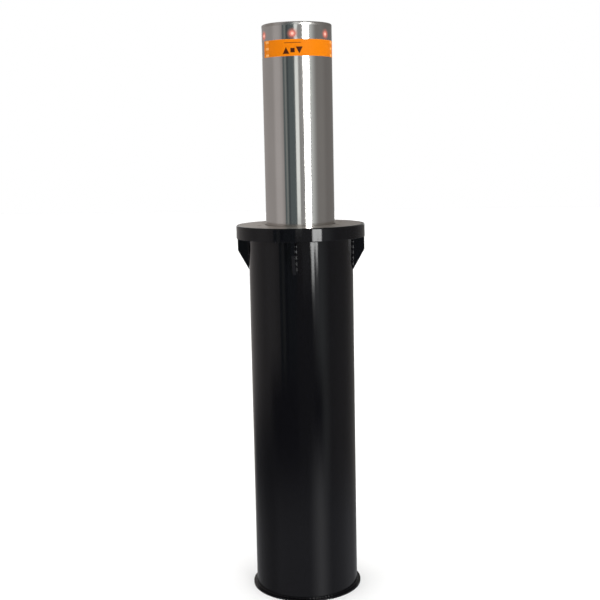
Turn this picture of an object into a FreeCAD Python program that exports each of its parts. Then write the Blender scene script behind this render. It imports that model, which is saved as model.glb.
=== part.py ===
import FreeCAD, Part
import math
import os
import re

import Sketcher

# Retractable bollard: a steel post on a hydraulic drive that rises out of a casing set in the ground.
#
# Millimetres, +Z up. The origin is the centre of the base plate's underside, and the front is
# towards -Y. At rest the post is fully raised. Every size is a cell of the sheet "Sizes", follows
# from those cells, or is a small local detail named in the function that uses it.

DIMENSIONS = [
    # Casing, set in the ground
    ("base_dia", 355, "base plate, diameter"),
    ("base_thk", 6, "base plate, thickness"),
    ("casing_od", 333, "casing tube, outside diameter"),
    ("casing_wall", 5, "casing tube, wall"),
    ("ground_z", 1192, "top of the cover plate and of the rim round it, level with the road"),
    ("flange_od", 410, "casing flange, diameter"),
    ("flange_depth", 41.5, "casing flange, height of its rim from the underside of the web"),
    ("flange_web", 12, "casing flange, thickness of its web"),
    ("rim_thk", 8, "casing flange, thickness of its rim"),
    ("rim_edge", 4, "casing flange, rounding of the rim's top edge"),
    ("gusset_thk", 10, "gusset plates, thickness"),
    ("gusset_height", 103.5, "gusset plates, height at the casing"),
    ("gusset_lip", 41, "gusset plates, height of the outer edge"),
    ("gusset_inset", 1.5, "gusset plates, inset from the flange's edge"),
    ("weld_leg", 4, "leg of the casing's fillet welds"),
    ("conduit_z", 900, "conduit socket, height"),
    ("conduit_bore", 40, "conduit socket, bore"),
    ("conduit_od", 48, "conduit socket, outside diameter"),
    ("conduit_end", 199.5, "conduit socket, reach from the axis"),
    ("drain_bore", 56, "drain socket, bore"),
    ("drain_od", 72, "drain socket, outside diameter"),
    ("drain_len", 40, "drain socket, length"),
    ("small_edge", 1.5, "small chamfers and roundings"),
    ("turn_deg", 22.5, "turn of the cover, flange and their bolts about the axis, in degrees"),
    # Cover and upper guide
    ("cover_gap", 0.5, "cover plate, gap to the rim round it"),
    ("cover_thk", 5, "cover plate, thickness"),
    ("cover_bore", 226, "cover plate, bore round the post"),
    ("cover_edge", 1, "cover plate, rounding of the outer edge"),
    ("cover_pcd", 268, "cover screws, pitch circle"),
    ("ring_gap", 1, "mounting ring, gap to the flange's rim"),
    ("mount_pcd", 350, "mounting bolts, pitch circle"),
    ("mount_dia", 12, "mounting bolts, thread diameter"),
    ("mount_hole", 13, "mounting ring, diameter of the bolt holes"),
    ("mount_head", 18, "mounting bolts, diameter of the head"),
    ("mount_sink", 20, "mounting ring, diameter of the counterbores"),
    ("sink_depth", 13, "mounting ring, depth of the counterbores"),
    ("screw_dia", 8, "cover screws, thread diameter"),
    ("screw_reach", 12, "cover and cap screws, length below the plate they hold"),
    ("screw_sink", 16.4, "cover plate, diameter of the countersinks"),
    ("head_gap", 0.2, "countersunk heads, distance below the surface"),
    ("bolt_count", 8, "mounting bolts and cover screws, number of each"),
    ("sleeve_od", 234, "guide sleeve, outside diameter"),
    ("sleeve_len", 114, "guide sleeve, length"),
    ("housing_wall", 6, "guide housing, wall"),
    ("guide_gap", 0.3, "gap between the post and what guides it"),
    ("buffer_thk", 19.5, "top buffer, thickness"),
    ("housing_len", 107.5, "guide housing, length"),
    ("housing_ledge", 3, "guide housing, thickness of the ledge under the sleeve"),
    # Drive frame
    ("rail_count", 4, "guide rails and rollers, number"),
    ("rail_width", 26, "guide rails, width"),
    ("rail_wall", 4, "guide rails, wall"),
    ("rail_lip", 5, "guide rails, depth of the side lips"),
    ("rail_outer", 150, "guide rails, radius of the back face"),
    ("bearer_z", 110, "bearer plate, height of its underside"),
    ("bearer_thk", 12, "bearer plate, thickness"),
    ("bearer_dia", 304, "bearer plate, diameter"),
    ("foot_pcd", 220, "levelling feet, pitch circle"),
    ("foot_stud", 16, "levelling feet, diameter of the stud"),
    ("drain_pcd", 160, "bearer plate, pitch circle of the drain holes"),
    ("drain_hole", 48, "bearer plate, diameter of the drain holes"),
    # Post
    ("post_od", 219, "post tube, outside diameter"),
    ("post_wall", 6, "post tube, wall"),
    ("rise", 618, "height of the raised post over the road"),
    ("stroke", 610, "travel of the post"),
    ("cap_thk", 10, "top cap, thickness"),
    ("cap_edge", 4.5, "top cap, rounding of the rim"),
    ("cap_pcd", 192, "cap screws, pitch circle"),
    ("cap_screw", 6, "cap screws, thread diameter"),
    ("cap_sink", 12.6, "top cap, diameter of the countersinks"),
    ("cap_ring_thk", 10, "cap ring, thickness"),
    ("spigot_depth", 4, "top cap, depth of the spigot inside the tube"),
    ("plug_dia", 24, "access plug, diameter"),
    ("carriage_z", 1023, "carriage, height of its underside"),
    ("carriage_thk", 12, "carriage, thickness of the plate"),
    ("carriage_dia", 272, "carriage, diameter"),
    ("roller_dia", 30, "guide rollers, diameter"),
    ("roller_width", 16, "guide rollers, width"),
    ("axle_dia", 8, "roller axles, diameter"),
    ("roller_drop", 23, "roller axles, distance below the carriage plate"),
    ("ear_thk", 5, "carriage, thickness of the ears"),
    ("tape_width", 50, "reflective tape, width"),
    ("tape_drop", 52.5, "reflective tape, top edge below the top of the post"),
    ("tape_start", -149, "reflective tape, direction of its first end, in degrees from +X"),
    ("tape_open", 36, "reflective tape, angle left open between its ends, in degrees"),
    ("tape_thk", 0.4, "reflective tape, thickness, and depth of its recess"),
    ("lamp_count", 6, "warning lamps, number"),
    ("lamp_drop", 36, "warning lamps, distance below the top of the post"),
    ("lamp_dia", 20, "warning lamps, diameter of the hole"),
    ("lens_depth", 9, "warning lamps, depth of the lens"),
    ("lamp_gap", 0.2, "warning lamps, gap between the lens and its hole"),
    ("board_drop", 14, "lamp board, height of its underside below the lamps' axes"),
    # Hydraulic cylinder
    ("rod_dia", 36, "piston rod, diameter"),
    ("barrel_bore", 60, "cylinder barrel, bore"),
    ("barrel_od", 76, "cylinder barrel, outside diameter"),
    ("barrel_z", 755, "cylinder barrel, height of its mouth"),
    ("gland_len", 45, "rod gland, length"),
    ("barrel_end", 10, "cylinder barrel, thickness of the closed end"),
    ("boss_dia", 48, "cylinder barrel, diameter of the boss on the closed end"),
    ("port_dia", 6, "oil port between the valve block and the barrel"),
    ("piston_thk", 35, "piston, thickness"),
    ("chamber_gap", 5, "gap between the piston and each end of the chamber"),
    ("rod_nut_thk", 14, "rod nuts, thickness"),
    ("rod_thread", 24, "piston rod, diameter of the threaded ends"),
    ("rod_foot", 64, "piston rod, diameter of the foot collar"),
    ("rod_foot_thk", 10, "piston rod, thickness of the foot collar"),
    ("seal_width", 5, "piston seals, width"),
    ("rod_seal_width", 8, "rod seals, width"),
    ("seal_edge", 6, "rod seals and piston seals, distance from the nearest end"),
    ("seal_depth", 5, "rod seals, depth of the groove"),
    ("thrust_pcd", 96, "thrust bolts, pitch circle"),
    ("thrust_dia", 10, "thrust bolts, thread diameter"),
    ("thrust_head", 16, "thrust bolts, diameter of the head"),
    ("thrust_flange", 116, "cylinder barrel, diameter of the top flange"),
    ("thrust_thk", 18, "thrust plate, thickness"),
    ("running_gap", 0.05, "radial gap of shafts and rods in their bearings"),
    # Hydraulic power pack
    ("block_width", 90, "valve block, width"),
    ("block_length", 160, "valve block, length"),
    ("block_height", 50, "valve block, height"),
    ("tank_dia", 124, "oil tank, diameter"),
    ("tank_height", 110, "oil tank, height"),
    ("tank_wall", 4, "oil tank, wall"),
    ("pump_width", 68, "gear pump, width"),
    ("pump_depth", 48, "gear pump, depth"),
    ("pump_height", 32, "gear pump, height of the body"),
    ("pump_floor", 8, "gear pump, thickness of the floor and of the cover"),
    ("gear_teeth", 16, "pump gears, number of teeth"),
    ("gear_module", 1.5, "pump gears, module"),
    ("shaft_dia", 12, "pump and motor shafts, diameter"),
    ("motor_dia", 104, "motor, diameter"),
    ("motor_height", 112, "motor, height of the housing"),
    ("motor_wall", 6, "motor, wall"),
    ("adaptor_thk", 10, "motor adaptor, thickness"),
    ("bearing_dia", 32, "motor bearings, outside diameter"),
    ("bearing_depth", 10, "motor bearings, thickness"),
    ("rotor_dia", 76, "motor rotor, diameter"),
    ("pin_depth", 6, "pump shafts, depth of the bearing holes"),
    ("stem_y", 72, "release stem, distance behind the axis"),
    ("stem_dia", 10, "release stem, diameter"),
]
BACKLASH = 0.06  # of the pump gears, in modules
QUARTERS = ("front", "right", "back", "left")
ALIASES = {row[0] for row in DIMENSIONS}

# Heights and radii that several parts share, written in terms of the cells.
COVER_UNDER = "(ground_z - cover_thk)"
FLANGE_UNDER = "(ground_z - flange_depth)"
LEDGE = "(ground_z - flange_depth + flange_web)"
RIM_BORE = "(flange_od / 2 - rim_thk)"
COVER_RADIUS = "(flange_od / 2 - rim_thk - cover_gap)"
RING_THK = "(flange_depth - flange_web - cover_thk)"
CASING_BORE = "(casing_od / 2 - casing_wall)"
POST_TOP = "(ground_z + rise)"
POST_BORE = "(post_od / 2 - post_wall)"
GUIDE_BORE = "(post_od / 2 + guide_gap)"
HOUSING_UNDER = f"({LEDGE} - housing_len)"
BEARER_TOP = "(bearer_z + bearer_thk)"
AXLE_RADIUS = "(rail_outer - rail_wall - guide_gap - roller_dia / 2)"
EAR_GAP = "(roller_width / 2 + 1)"
PISTON_Z = "(barrel_z + gland_len + chamber_gap)"
CHAMBER_TOP = "(barrel_z + gland_len + piston_thk + rod_nut_thk + 2 * chamber_gap + stroke)"
THRUST_Z = f"({CHAMBER_TOP} + barrel_end)"
BLOCK_Z = f"({THRUST_Z} + thrust_thk)"
TANK_Z = f"({BLOCK_Z} + block_height)"
PUMP_Z = f"({TANK_Z} + tank_wall)"
ADAPTOR_Z = f"({TANK_Z} + tank_height)"
MOTOR_Z = f"({ADAPTOR_Z} + adaptor_thk)"
LAMP_Z = f"({POST_TOP} - lamp_drop)"
LENS_RADIUS = "(lamp_dia / 2 - lamp_gap)"
GEAR_CENTRES = "(gear_teeth * gear_module)"
SHAFT_HOLE = "(shaft_dia / 2 + running_gap)"
CAP_SINK_Z = "(cap_thk - 3.2)"
PISTON_GROOVES = ("(seal_edge + 2)", "(piston_thk - seal_width - seal_edge - 2)")
PISTON_GROOVE_FLOOR = "(barrel_bore / 2 - 4)"
GLAND_GROOVES = ("seal_edge", "(gland_len - 2 * seal_edge - rod_seal_width)")
CAP_RING_Z = f"({POST_TOP} - cap_thk - spigot_depth - cap_ring_thk)"

DOC = FreeCAD.newDocument("Bollard")
SHEET = DOC.addObject("Spreadsheet::Sheet", "Sizes")
PARTS = []


# ---------------------------------------------------------------- the sheet and its expressions


def fill_sheet():
    """One row for each driving dimension: its name, its value and what it is."""
    for row, (alias, value, meaning) in enumerate(DIMENSIONS, start=1):
        SHEET.set(f"A{row}", alias)
        SHEET.set(f"B{row}", str(value))
        SHEET.set(f"C{row}", meaning)
        SHEET.setAlias(f"B{row}", alias)
    DOC.recompute()


def bound(words):
    """The expression with each cell's name written in full."""
    return re.sub(r"[a-z_]+", lambda m: f"Sizes.{m[0]}" if m[0] in ALIASES else m[0], str(words))


def number(words):
    """The value of an expression now."""
    return float(SHEET.evalExpression(bound(words)))


# ---------------------------------------------------------------- sketches


def origin_feature(body, role):
    return next(o for o in body.Origin.OriginFeatures if o.Role == role)


def new_body(label):
    body = DOC.addObject("PartDesign::Body", label)
    body.Label = label
    PARTS.append(body)
    return body


def sketch_on(body, role, offset=None):
    """An empty sketch on one of the body's own origin planes, shifted in that plane if asked."""
    sketch = body.newObject("Sketcher::SketchObject", body.Name + "_sketch")
    sketch.AttachmentSupport = [(origin_feature(body, role), "")]
    sketch.MapMode = "FlatFace"
    for axis, words in (offset or {}).items():
        sketch.setExpression(f"AttachmentOffset.Base.{axis}", bound(words))
    DOC.recompute()
    return sketch


def pin_point(sketch, geometry, end, x, y):
    """Fixes one point of the sketch at (x, y), both expressions."""
    for kind, axis, words in (("DistanceX", -2, x), ("DistanceY", -1, y)):
        value = number(words)
        if abs(value) < 1e-9:
            sketch.addConstraint(Sketcher.Constraint("PointOnObject", geometry, end, axis))
            continue
        index = sketch.addConstraint(Sketcher.Constraint(kind, -1, 1, geometry, end, value))
        sketch.setExpression(f"Constraints[{index}]", bound(words))


def draw_outline(sketch, corners):
    """A closed outline of straight lines through corners, each a pair of expressions."""
    points = [FreeCAD.Vector(number(x), number(y), 0) for x, y in corners]
    first = len(sketch.Geometry)
    total = len(points)
    for i, point in enumerate(points):
        sketch.addGeometry(Part.LineSegment(point, points[(i + 1) % total]), False)
    for i, (x, y) in enumerate(corners):
        after = first + (i + 1) % total
        sketch.addConstraint(Sketcher.Constraint("Coincident", first + i, 2, after, 1))
        pin_point(sketch, first + i, 1, x, y)


def draw_circle(sketch, radius, x="0", y="0"):
    centre = FreeCAD.Vector(number(x), number(y), 0)
    normal = FreeCAD.Vector(0, 0, 1)
    index = sketch.addGeometry(Part.Circle(centre, normal, number(radius)), False)
    constraint = sketch.addConstraint(Sketcher.Constraint("Radius", index, number(radius)))
    sketch.setExpression(f"Constraints[{constraint}]", bound(radius))
    pin_point(sketch, index, 3, x, y)


def box_corners(x0, x1, y0, y1):
    return [(x0, y0), (x1, y0), (x1, y1), (x0, y1)]


def hexagon(across_flats):
    reach = f"{across_flats} / 2 / cos(30)"
    return [(f"{reach} * cos({60 * i})", f"{reach} * sin({60 * i})") for i in range(6)]


# ---------------------------------------------------------------- features


def finish_feature(body, feature):
    DOC.recompute()
    body.Tip = feature
    DOC.recompute()
    return feature


def turn(body, corners, cut=False, at="0", about="V_Axis", sweep="360"):
    """Turns an outline of (radius, height) corners about an upright axis at the distance at, or, with
    about="H_Axis", an outline of (distance, radius) corners about a line that runs out from the axis."""
    sketch = sketch_on(body, "XZ_Plane", {"x": at} if at != "0" else None)
    draw_outline(sketch, corners)
    kind = "PartDesign::Groove" if cut else "PartDesign::Revolution"
    feature = body.newObject(kind, body.Name + "_turned")
    feature.Profile = sketch
    feature.ReferenceAxis = (sketch, [about])
    feature.setExpression("Angle", bound(sweep))
    return finish_feature(body, feature)


def pad(body, draw, height, lift="0", role="XY_Plane", middle=False, down=False):
    """Pads what draw(sketch) draws. lift moves the sketch along its plane's normal."""
    sketch = sketch_on(body, role, {"z": lift} if lift != "0" else None)
    draw(sketch)
    feature = body.newObject("PartDesign::Pad", body.Name + "_pad")
    feature.Profile = sketch
    feature.setExpression("Length", bound(height))
    feature.Midplane = middle
    feature.Reversed = down
    return finish_feature(body, feature)


def pocket(body, draw, depth, lift="0", role="XY_Plane", middle=False, flip=False):
    """Cuts what draw(sketch) draws, and stops if that removed nothing."""
    before = body.Shape.Volume
    sketch = sketch_on(body, role, {"z": lift} if lift != "0" else None)
    draw(sketch)
    feature = body.newObject("PartDesign::Pocket", body.Name + "_pocket")
    feature.Profile = sketch
    feature.setExpression("Length", bound(depth))
    feature.Midplane = middle
    feature.Reversed = flip
    finish_feature(body, feature)
    if not body.Shape.Volume < before - 1:
        raise RuntimeError(f"a pocket in {body.Label} cuts nothing")
    return feature


def around(body, features, count):
    """Repeats features evenly about the body's upright axis."""
    pattern = body.newObject("PartDesign::PolarPattern", body.Name + "_around")
    pattern.Originals = features
    pattern.Axis = (origin_feature(body, "Z_Axis"), [""])
    pattern.Angle = 360
    pattern.setExpression("Occurrences", bound(count))
    return finish_feature(body, pattern)


def round_edges(body, feature, radius, wanted):
    """Rounds the edges of the last feature for which wanted(edge) is true."""
    names = [f"Edge{i}" for i, edge in enumerate(feature.Shape.Edges, start=1) if wanted(edge)]
    if not names:
        raise RuntimeError(f"{body.Label} has no edge to round")
    fillet = body.newObject("PartDesign::Fillet", body.Name + "_round")
    fillet.Base = (feature, names)
    fillet.setExpression("Radius", bound(radius))
    return finish_feature(body, fillet)


def circle_at(edge, radius, height):
    """True for a whole circle of that radius about the axis, at that height in the body."""
    curve = edge.Curve
    return (
        isinstance(curve, Part.Circle)
        and abs(curve.Radius - number(radius)) < 1e-6
        and abs(curve.Center.z - number(height)) < 1e-6
        and math.hypot(curve.Center.x, curve.Center.y) < 1e-6
    )


def place(part, z="0", turn_deg=0.0, x="0", y="0"):
    """Turns a part about its own upright axis and moves it to (x, y, z), all expressions."""
    part.Placement = FreeCAD.Placement(
        FreeCAD.Vector(), FreeCAD.Rotation(FreeCAD.Vector(0, 0, 1), turn_deg)
    )
    for axis, words in (("x", x), ("y", y), ("z", z)):
        if words != "0":
            part.setExpression(f"Placement.Base.{axis}", bound(words))
    DOC.recompute()
    return part


def turned(label, z, corners, turn_deg=0.0):
    """A part turned from one outline of (radius, height) corners, standing at height z."""
    body = new_body(label)
    turn(body, corners)
    return place(body, z, turn_deg)


def ring(inner, outer, height, start="0"):
    """Corners of a plain ring or tube."""
    return box_corners(inner, outer, start, f"{start} + {height}")


def hole(diameter, depth):
    """Corners that cut a plain hole from just below a plate of that depth to just above it."""
    return box_corners("0", f"{diameter} / 2", "-1", f"{depth} + 1")


def hex_socket(body, across_flats, pitch_radius, top, depth):
    """A hexagon socket sunk into the head of a screw that stands at the pitch radius."""
    sketch = sketch_on(body, "XY_Plane", {"x": pitch_radius, "z": top})
    draw_outline(sketch, hexagon(across_flats))
    socket = body.newObject("PartDesign::Pocket", body.Name + "_socket")
    socket.Profile = sketch
    socket.Length = depth
    return finish_feature(body, socket)


def bolts(label, z, pitch_radius, count, corners, turn_deg=0.0):
    """A group of like fasteners, each turned from corners, evenly spaced on a pitch circle."""
    body = new_body(label)
    one = turn(body, corners, at=pitch_radius)
    around(body, [one], count)
    return place(body, z, turn_deg)


def drill_ring(body, pitch_radius, count, corners):
    """Like holes, each cut to the turned outline corners, evenly spaced on a pitch circle."""
    before = body.Shape.Volume
    one = turn(body, corners, cut=True, at=pitch_radius)
    around(body, [one], count)
    if not body.Shape.Volume < before - 1:
        raise RuntimeError(f"the holes in {body.Label} cut nothing")


# ---------------------------------------------------------------- casing


def make_base_plate():
    outline = ring("drain_od / 2", "base_dia / 2", "base_thk")
    turned("base_plate", "0", outline)


def make_drain_socket():
    turned("drain_socket", "0", ring("drain_bore / 2", "drain_od / 2", "drain_len"))


def make_casing_tube():
    """The tube between base plate and flange, with its two ring welds and a hole for the conduit."""
    body = new_body("casing_tube")
    outer = "casing_od / 2"
    top = f"({FLANGE_UNDER} - base_thk)"
    outline = [
        (CASING_BORE, "0"),
        (f"{outer} + weld_leg", "0"),
        (outer, "weld_leg"),
        (outer, f"{top} - weld_leg"),
        (f"{outer} + weld_leg", top),
        (CASING_BORE, top),
    ]
    turn(body, outline)
    pocket(
        body,
        lambda s: draw_circle(s, "conduit_od / 2", "0", "conduit_z - base_thk"),
        "casing_od",
        role="XZ_Plane",
    )
    place(body, "base_thk")


def make_conduit_socket():
    """A pipe socket welded through the casing wall, bored right through."""
    body = new_body("conduit_socket")
    inner_end = f"({CASING_BORE} - casing_wall)"
    outline = [
        (inner_end, "conduit_bore / 2"),
        ("conduit_end", "conduit_bore / 2"),
        ("conduit_end", "conduit_od / 2 - small_edge"),
        ("conduit_end - small_edge", "conduit_od / 2"),
        (inner_end, "conduit_od / 2"),
    ]
    turn(body, outline, about="H_Axis")
    place(body, "conduit_z", 90)


def make_casing_flange():
    """A web that the tube is welded under, drilled for the mounting bolts, with a rim that stands up
    round the cover plate to road level."""
    body = new_body("casing_flange")
    outline = [
        (CASING_BORE, "0"),
        ("flange_od / 2", "0"),
        ("flange_od / 2", "flange_depth"),
        (RIM_BORE, "flange_depth"),
        (RIM_BORE, "flange_web"),
        (CASING_BORE, "flange_web"),
    ]
    shape = turn(body, outline)
    shape = round_edges(body, shape, "small_edge", lambda e: circle_at(e, "flange_od / 2", "0"))
    round_edges(body, shape, "rim_edge", lambda e: circle_at(e, "flange_od / 2", "flange_depth"))
    drill_ring(body, "mount_pcd / 2", "bolt_count", hole("mount_dia", "flange_web"))
    place(body, FLANGE_UNDER, number("turn_deg"))


def make_gussets():
    """Four upright plates that brace the flange to the tube and key the casing into the concrete.
    Each is notched to clear the ring weld, and its own two welds run down the tube."""
    reach = "(flange_od / 2 - gusset_inset)"
    sunk = 3
    start = f"(casing_od / 2 - {sunk})"
    notch = "(weld_leg + 1)"
    plate = [
        (start, f"-{notch} - {sunk}"),
        (f"casing_od / 2 + {notch}", "0"),
        (reach, "0"),
        (reach, "-gusset_lip"),
        ("casing_od / 2 + weld_leg / 2", "-gusset_height"),
        (start, "-gusset_height"),
    ]
    half = "gusset_thk / 2"
    toe = f"({half} + weld_leg * 1.15)"
    welds = [
        (start, f"-{toe}"),
        ("casing_od / 2 + weld_leg", f"-{half}"),
        ("casing_od / 2 + weld_leg", half),
        (start, toe),
    ]
    weld_len = f"(gusset_height - 2 * {notch})"
    for quarter, name in enumerate(QUARTERS):
        body = new_body(f"gusset_{name}")
        pad(body, lambda s: draw_outline(s, plate), "gusset_thk", role="XZ_Plane", middle=True)
        pad(body, lambda s: draw_outline(s, welds), weld_len, lift=f"-{notch}", down=True)
        pocket(body, lambda s: draw_circle(s, "casing_od / 2"), "gusset_height + 1")
        place(body, FLANGE_UNDER, 90 * quarter - 90)


# ---------------------------------------------------------------- cover and upper guide


def make_cover_plate():
    """The stainless ring that lies in the casing's rim, level with the road, with countersunk holes."""
    body = new_body("cover_plate")
    shape = turn(body, ring("cover_bore / 2", COVER_RADIUS, "cover_thk"))
    round_edges(body, shape, "cover_edge", lambda e: circle_at(e, COVER_RADIUS, "cover_thk"))
    clear = "screw_dia / 2 + head_gap"
    countersink = [
        ("0", "-1"),
        (clear, "-1"),
        (clear, "1"),
        ("screw_sink / 2", "cover_thk"),
        ("0", "cover_thk"),
    ]
    drill_ring(body, "cover_pcd / 2", "bolt_count", countersink)
    place(body, COVER_UNDER, number("turn_deg"))


def make_cover_screws():
    """Countersunk M8 screws with a hexagon socket, through the cover into the mounting ring."""
    body = new_body("cover_screws")
    top = "cover_thk - head_gap"
    outline = [
        ("0", "-screw_reach"),
        ("screw_dia / 2", "-screw_reach"),
        ("screw_dia / 2", "1"),
        ("screw_sink / 2 - 1.5 * head_gap", top),
        ("0", top),
    ]
    screw = turn(body, outline, at="cover_pcd / 2")
    socket = hex_socket(body, "5", "cover_pcd / 2", top, 3)
    around(body, [screw, socket], "bolt_count")
    place(body, COVER_UNDER, number("turn_deg"))


def make_mounting_ring():
    """The top ring of the drive frame. It sits on the flange's web and takes the cover screws."""
    body = new_body("mounting_ring")
    turn(body, ring("sleeve_od / 2", f"{RIM_BORE} - ring_gap", RING_THK))
    counterbore = [
        ("0", "-1"),
        ("mount_hole / 2", "-1"),
        ("mount_hole / 2", f"{RING_THK} - sink_depth"),
        ("mount_sink / 2", f"{RING_THK} - sink_depth"),
        ("mount_sink / 2", f"{RING_THK} + 1"),
        ("0", f"{RING_THK} + 1"),
    ]
    tapped = box_corners("0", "screw_dia / 2", f"{RING_THK} - screw_reach - 2", f"{RING_THK} + 1")
    drill_ring(body, "mount_pcd / 2", "bolt_count", counterbore)
    drill_ring(body, "cover_pcd / 2", "bolt_count", tapped)
    place(body, LEDGE, number("turn_deg"))


def make_mounting_bolts():
    """M12 cap screws that hold the drive frame down on the flange."""
    head = f"({RING_THK} - sink_depth)"
    socket = 5
    outline = [
        ("0", "-flange_web"),
        ("mount_dia / 2", "-flange_web"),
        ("mount_dia / 2", head),
        ("mount_head / 2", head),
        ("mount_head / 2", f"{head} + mount_dia"),
        (socket, f"{head} + mount_dia"),
        (socket, f"{head} + mount_dia / 2"),
        ("0", f"{head} + mount_dia / 2"),
    ]
    bolts("mounting_bolts", LEDGE, "mount_pcd / 2", "bolt_count", outline, number("turn_deg"))


def make_guide_housing():
    """The tube under the mounting ring that holds the guide sleeve on a small ledge."""
    outer = "(sleeve_od / 2 + housing_wall)"
    inner = "(sleeve_od / 2 - 5)"
    outline = [
        (inner, "0"),
        (outer, "0"),
        (outer, "housing_len"),
        ("sleeve_od / 2", "housing_len"),
        ("sleeve_od / 2", "housing_ledge"),
        (inner, "housing_ledge"),
    ]
    turned("guide_housing", HOUSING_UNDER, outline)


def make_guide_sleeve():
    """A plain polymer bush that the post slides in."""
    lead = 2
    outline = [
        (GUIDE_BORE, lead),
        (f"{GUIDE_BORE} + {lead}", "0"),
        ("sleeve_od / 2", "0"),
        ("sleeve_od / 2", "sleeve_len"),
        (f"{GUIDE_BORE} + {lead}", "sleeve_len"),
        (GUIDE_BORE, f"sleeve_len - {lead}"),
    ]
    turned("guide_sleeve", f"{HOUSING_UNDER} + housing_ledge", outline)


def make_wiper_seal():
    """A rubber scraper over the sleeve. Its lip stands in the cover's bore, just under road level."""
    base = f"({HOUSING_UNDER} + housing_ledge + sleeve_len)"
    shoulder = f"({COVER_UNDER} - {base})"
    collar = "(cover_bore / 2 - 0.4)"
    lip_top = f"({shoulder} + cover_thk - 0.6)"
    outline = [
        (f"{GUIDE_BORE} + 2.4", "0"),
        ("sleeve_od / 2", "0"),
        ("sleeve_od / 2", shoulder),
        (collar, shoulder),
        (collar, f"{shoulder} + cover_thk / 2"),
        (f"{GUIDE_BORE} + 0.8", lip_top),
        (GUIDE_BORE, lip_top),
        (f"{GUIDE_BORE} + 1.6", f"{shoulder} - 3"),
        (GUIDE_BORE, "4"),
        (f"{GUIDE_BORE} + 1.2", "3"),
    ]
    turned("wiper_seal", base, outline)


def make_top_buffer():
    """A rubber ring under the guide housing that the carriage comes up against."""
    inner = "(post_od / 2 + 2.5)"
    outer = "(sleeve_od / 2 + housing_wall)"
    bevel = 2
    outline = [
        (inner, bevel),
        (f"{inner} + {bevel}", "0"),
        (f"{outer} - {bevel}", "0"),
        (outer, bevel),
        (outer, "buffer_thk"),
        (inner, "buffer_thk"),
    ]
    turned("top_buffer", f"{HOUSING_UNDER} - buffer_thk", outline)


# ---------------------------------------------------------------- drive frame


def rail_angle(index):
    return 45 + 90 * index


def make_guide_rails():
    """Channels from the bearer plate up to the mounting ring. A roller runs in each."""
    back = "rail_outer"
    floor = "(rail_outer - rail_wall)"
    lip = "(rail_outer - rail_wall - rail_lip)"
    half = "rail_width / 2"
    inside = "(rail_width / 2 - rail_wall)"
    outline = [
        (back, f"-{half}"),
        (back, half),
        (lip, half),
        (lip, inside),
        (floor, inside),
        (floor, f"-{inside}"),
        (lip, f"-{inside}"),
        (lip, f"-{half}"),
    ]
    body = new_body("guide_rails")
    one = pad(body, lambda s: draw_outline(s, outline), f"{LEDGE} - {BEARER_TOP}")
    around(body, [one], "rail_count")
    place(body, BEARER_TOP, rail_angle(0))


def make_bearer_plate():
    """The round plate at the foot of the drive frame, with drain holes and a hole for the rod."""
    body = new_body("bearer_plate")
    turn(body, ring("rod_thread / 2", "bearer_dia / 2", "bearer_thk"))
    drill_ring(body, "drain_pcd / 2", "4", hole("drain_hole", "bearer_thk"))
    drill_ring(body, "foot_pcd / 2", "4", hole("foot_stud", "bearer_thk"))
    place(body, "bearer_z")


def make_bearer_feet():
    """Levelling feet: a rubber pad, a collar under the bearer plate, a stud and a nut on top."""
    plate = "(bearer_z - base_thk)"
    plate_top = f"({plate} + bearer_thk)"
    stud = "foot_stud / 2"
    pad_radius, nut_radius, nut_height = 22, 13, 10
    outline = [
        ("0", "0"),
        (pad_radius, "0"),
        (pad_radius, nut_height),
        (stud, f"{nut_height} + 4"),
        (stud, f"{plate} - {nut_height}"),
        (nut_radius, f"{plate} - {nut_height}"),
        (nut_radius, plate),
        (stud, plate),
        (stud, plate_top),
        (nut_radius, plate_top),
        (nut_radius, f"{plate_top} + {nut_height}"),
        (f"{stud} - 1", f"{plate_top} + {nut_height} + 4"),
        ("0", f"{plate_top} + {nut_height} + 4"),
    ]
    bolts("bearer_feet", "base_thk", "foot_pcd / 2", "4", outline)


def make_reed_sensors():
    """Two switches clipped to the side of the first rail, at the ends of the travel."""
    body = new_body("reed_sensors")
    back = "(rail_outer - 1)"
    side = "rail_width / 2"
    size, length = 8, 30

    def section(sketch):
        draw_outline(sketch, box_corners(f"{back} - {size}", back, side, f"{side} + {size}"))

    for top in ("(carriage_z + carriage_thk)", "(carriage_z + carriage_thk - stroke)"):
        pad(body, section, length, lift=f"{top} - {length}")
    place(body, "0", rail_angle(0))


# ---------------------------------------------------------------- cylinder


def make_piston_rod():
    """The rod stands still: its foot is nutted under the bearer plate, and the barrel rides up it."""
    shoulder = f"({PISTON_Z} - {BEARER_TOP})"
    end = f"({shoulder} + piston_thk + rod_nut_thk)"
    tail = "(bearer_thk + rod_nut_thk + 12)"
    thread = "rod_thread / 2"
    outline = [
        ("0", f"-{tail}"),
        (f"{thread} - small_edge", f"-{tail}"),
        (thread, f"small_edge - {tail}"),
        (thread, "0"),
        ("rod_foot / 2", "0"),
        ("rod_foot / 2", "rod_foot_thk"),
        ("rod_dia / 2", "rod_foot_thk"),
        ("rod_dia / 2", shoulder),
        (thread, shoulder),
        (thread, end),
        ("0", end),
    ]
    turned("piston_rod", BEARER_TOP, outline)


def make_rod_nuts():
    """Two like nuts: one under the bearer plate holds the rod, one on top of the piston."""
    body = new_body("rod_nuts")

    def section(sketch):
        draw_outline(sketch, hexagon("rod_dia"))
        draw_circle(sketch, "rod_thread / 2")

    for z in ("bearer_z - rod_nut_thk", f"{PISTON_Z} + piston_thk"):
        pad(body, section, "rod_nut_thk", lift=z)
    place(body)


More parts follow.
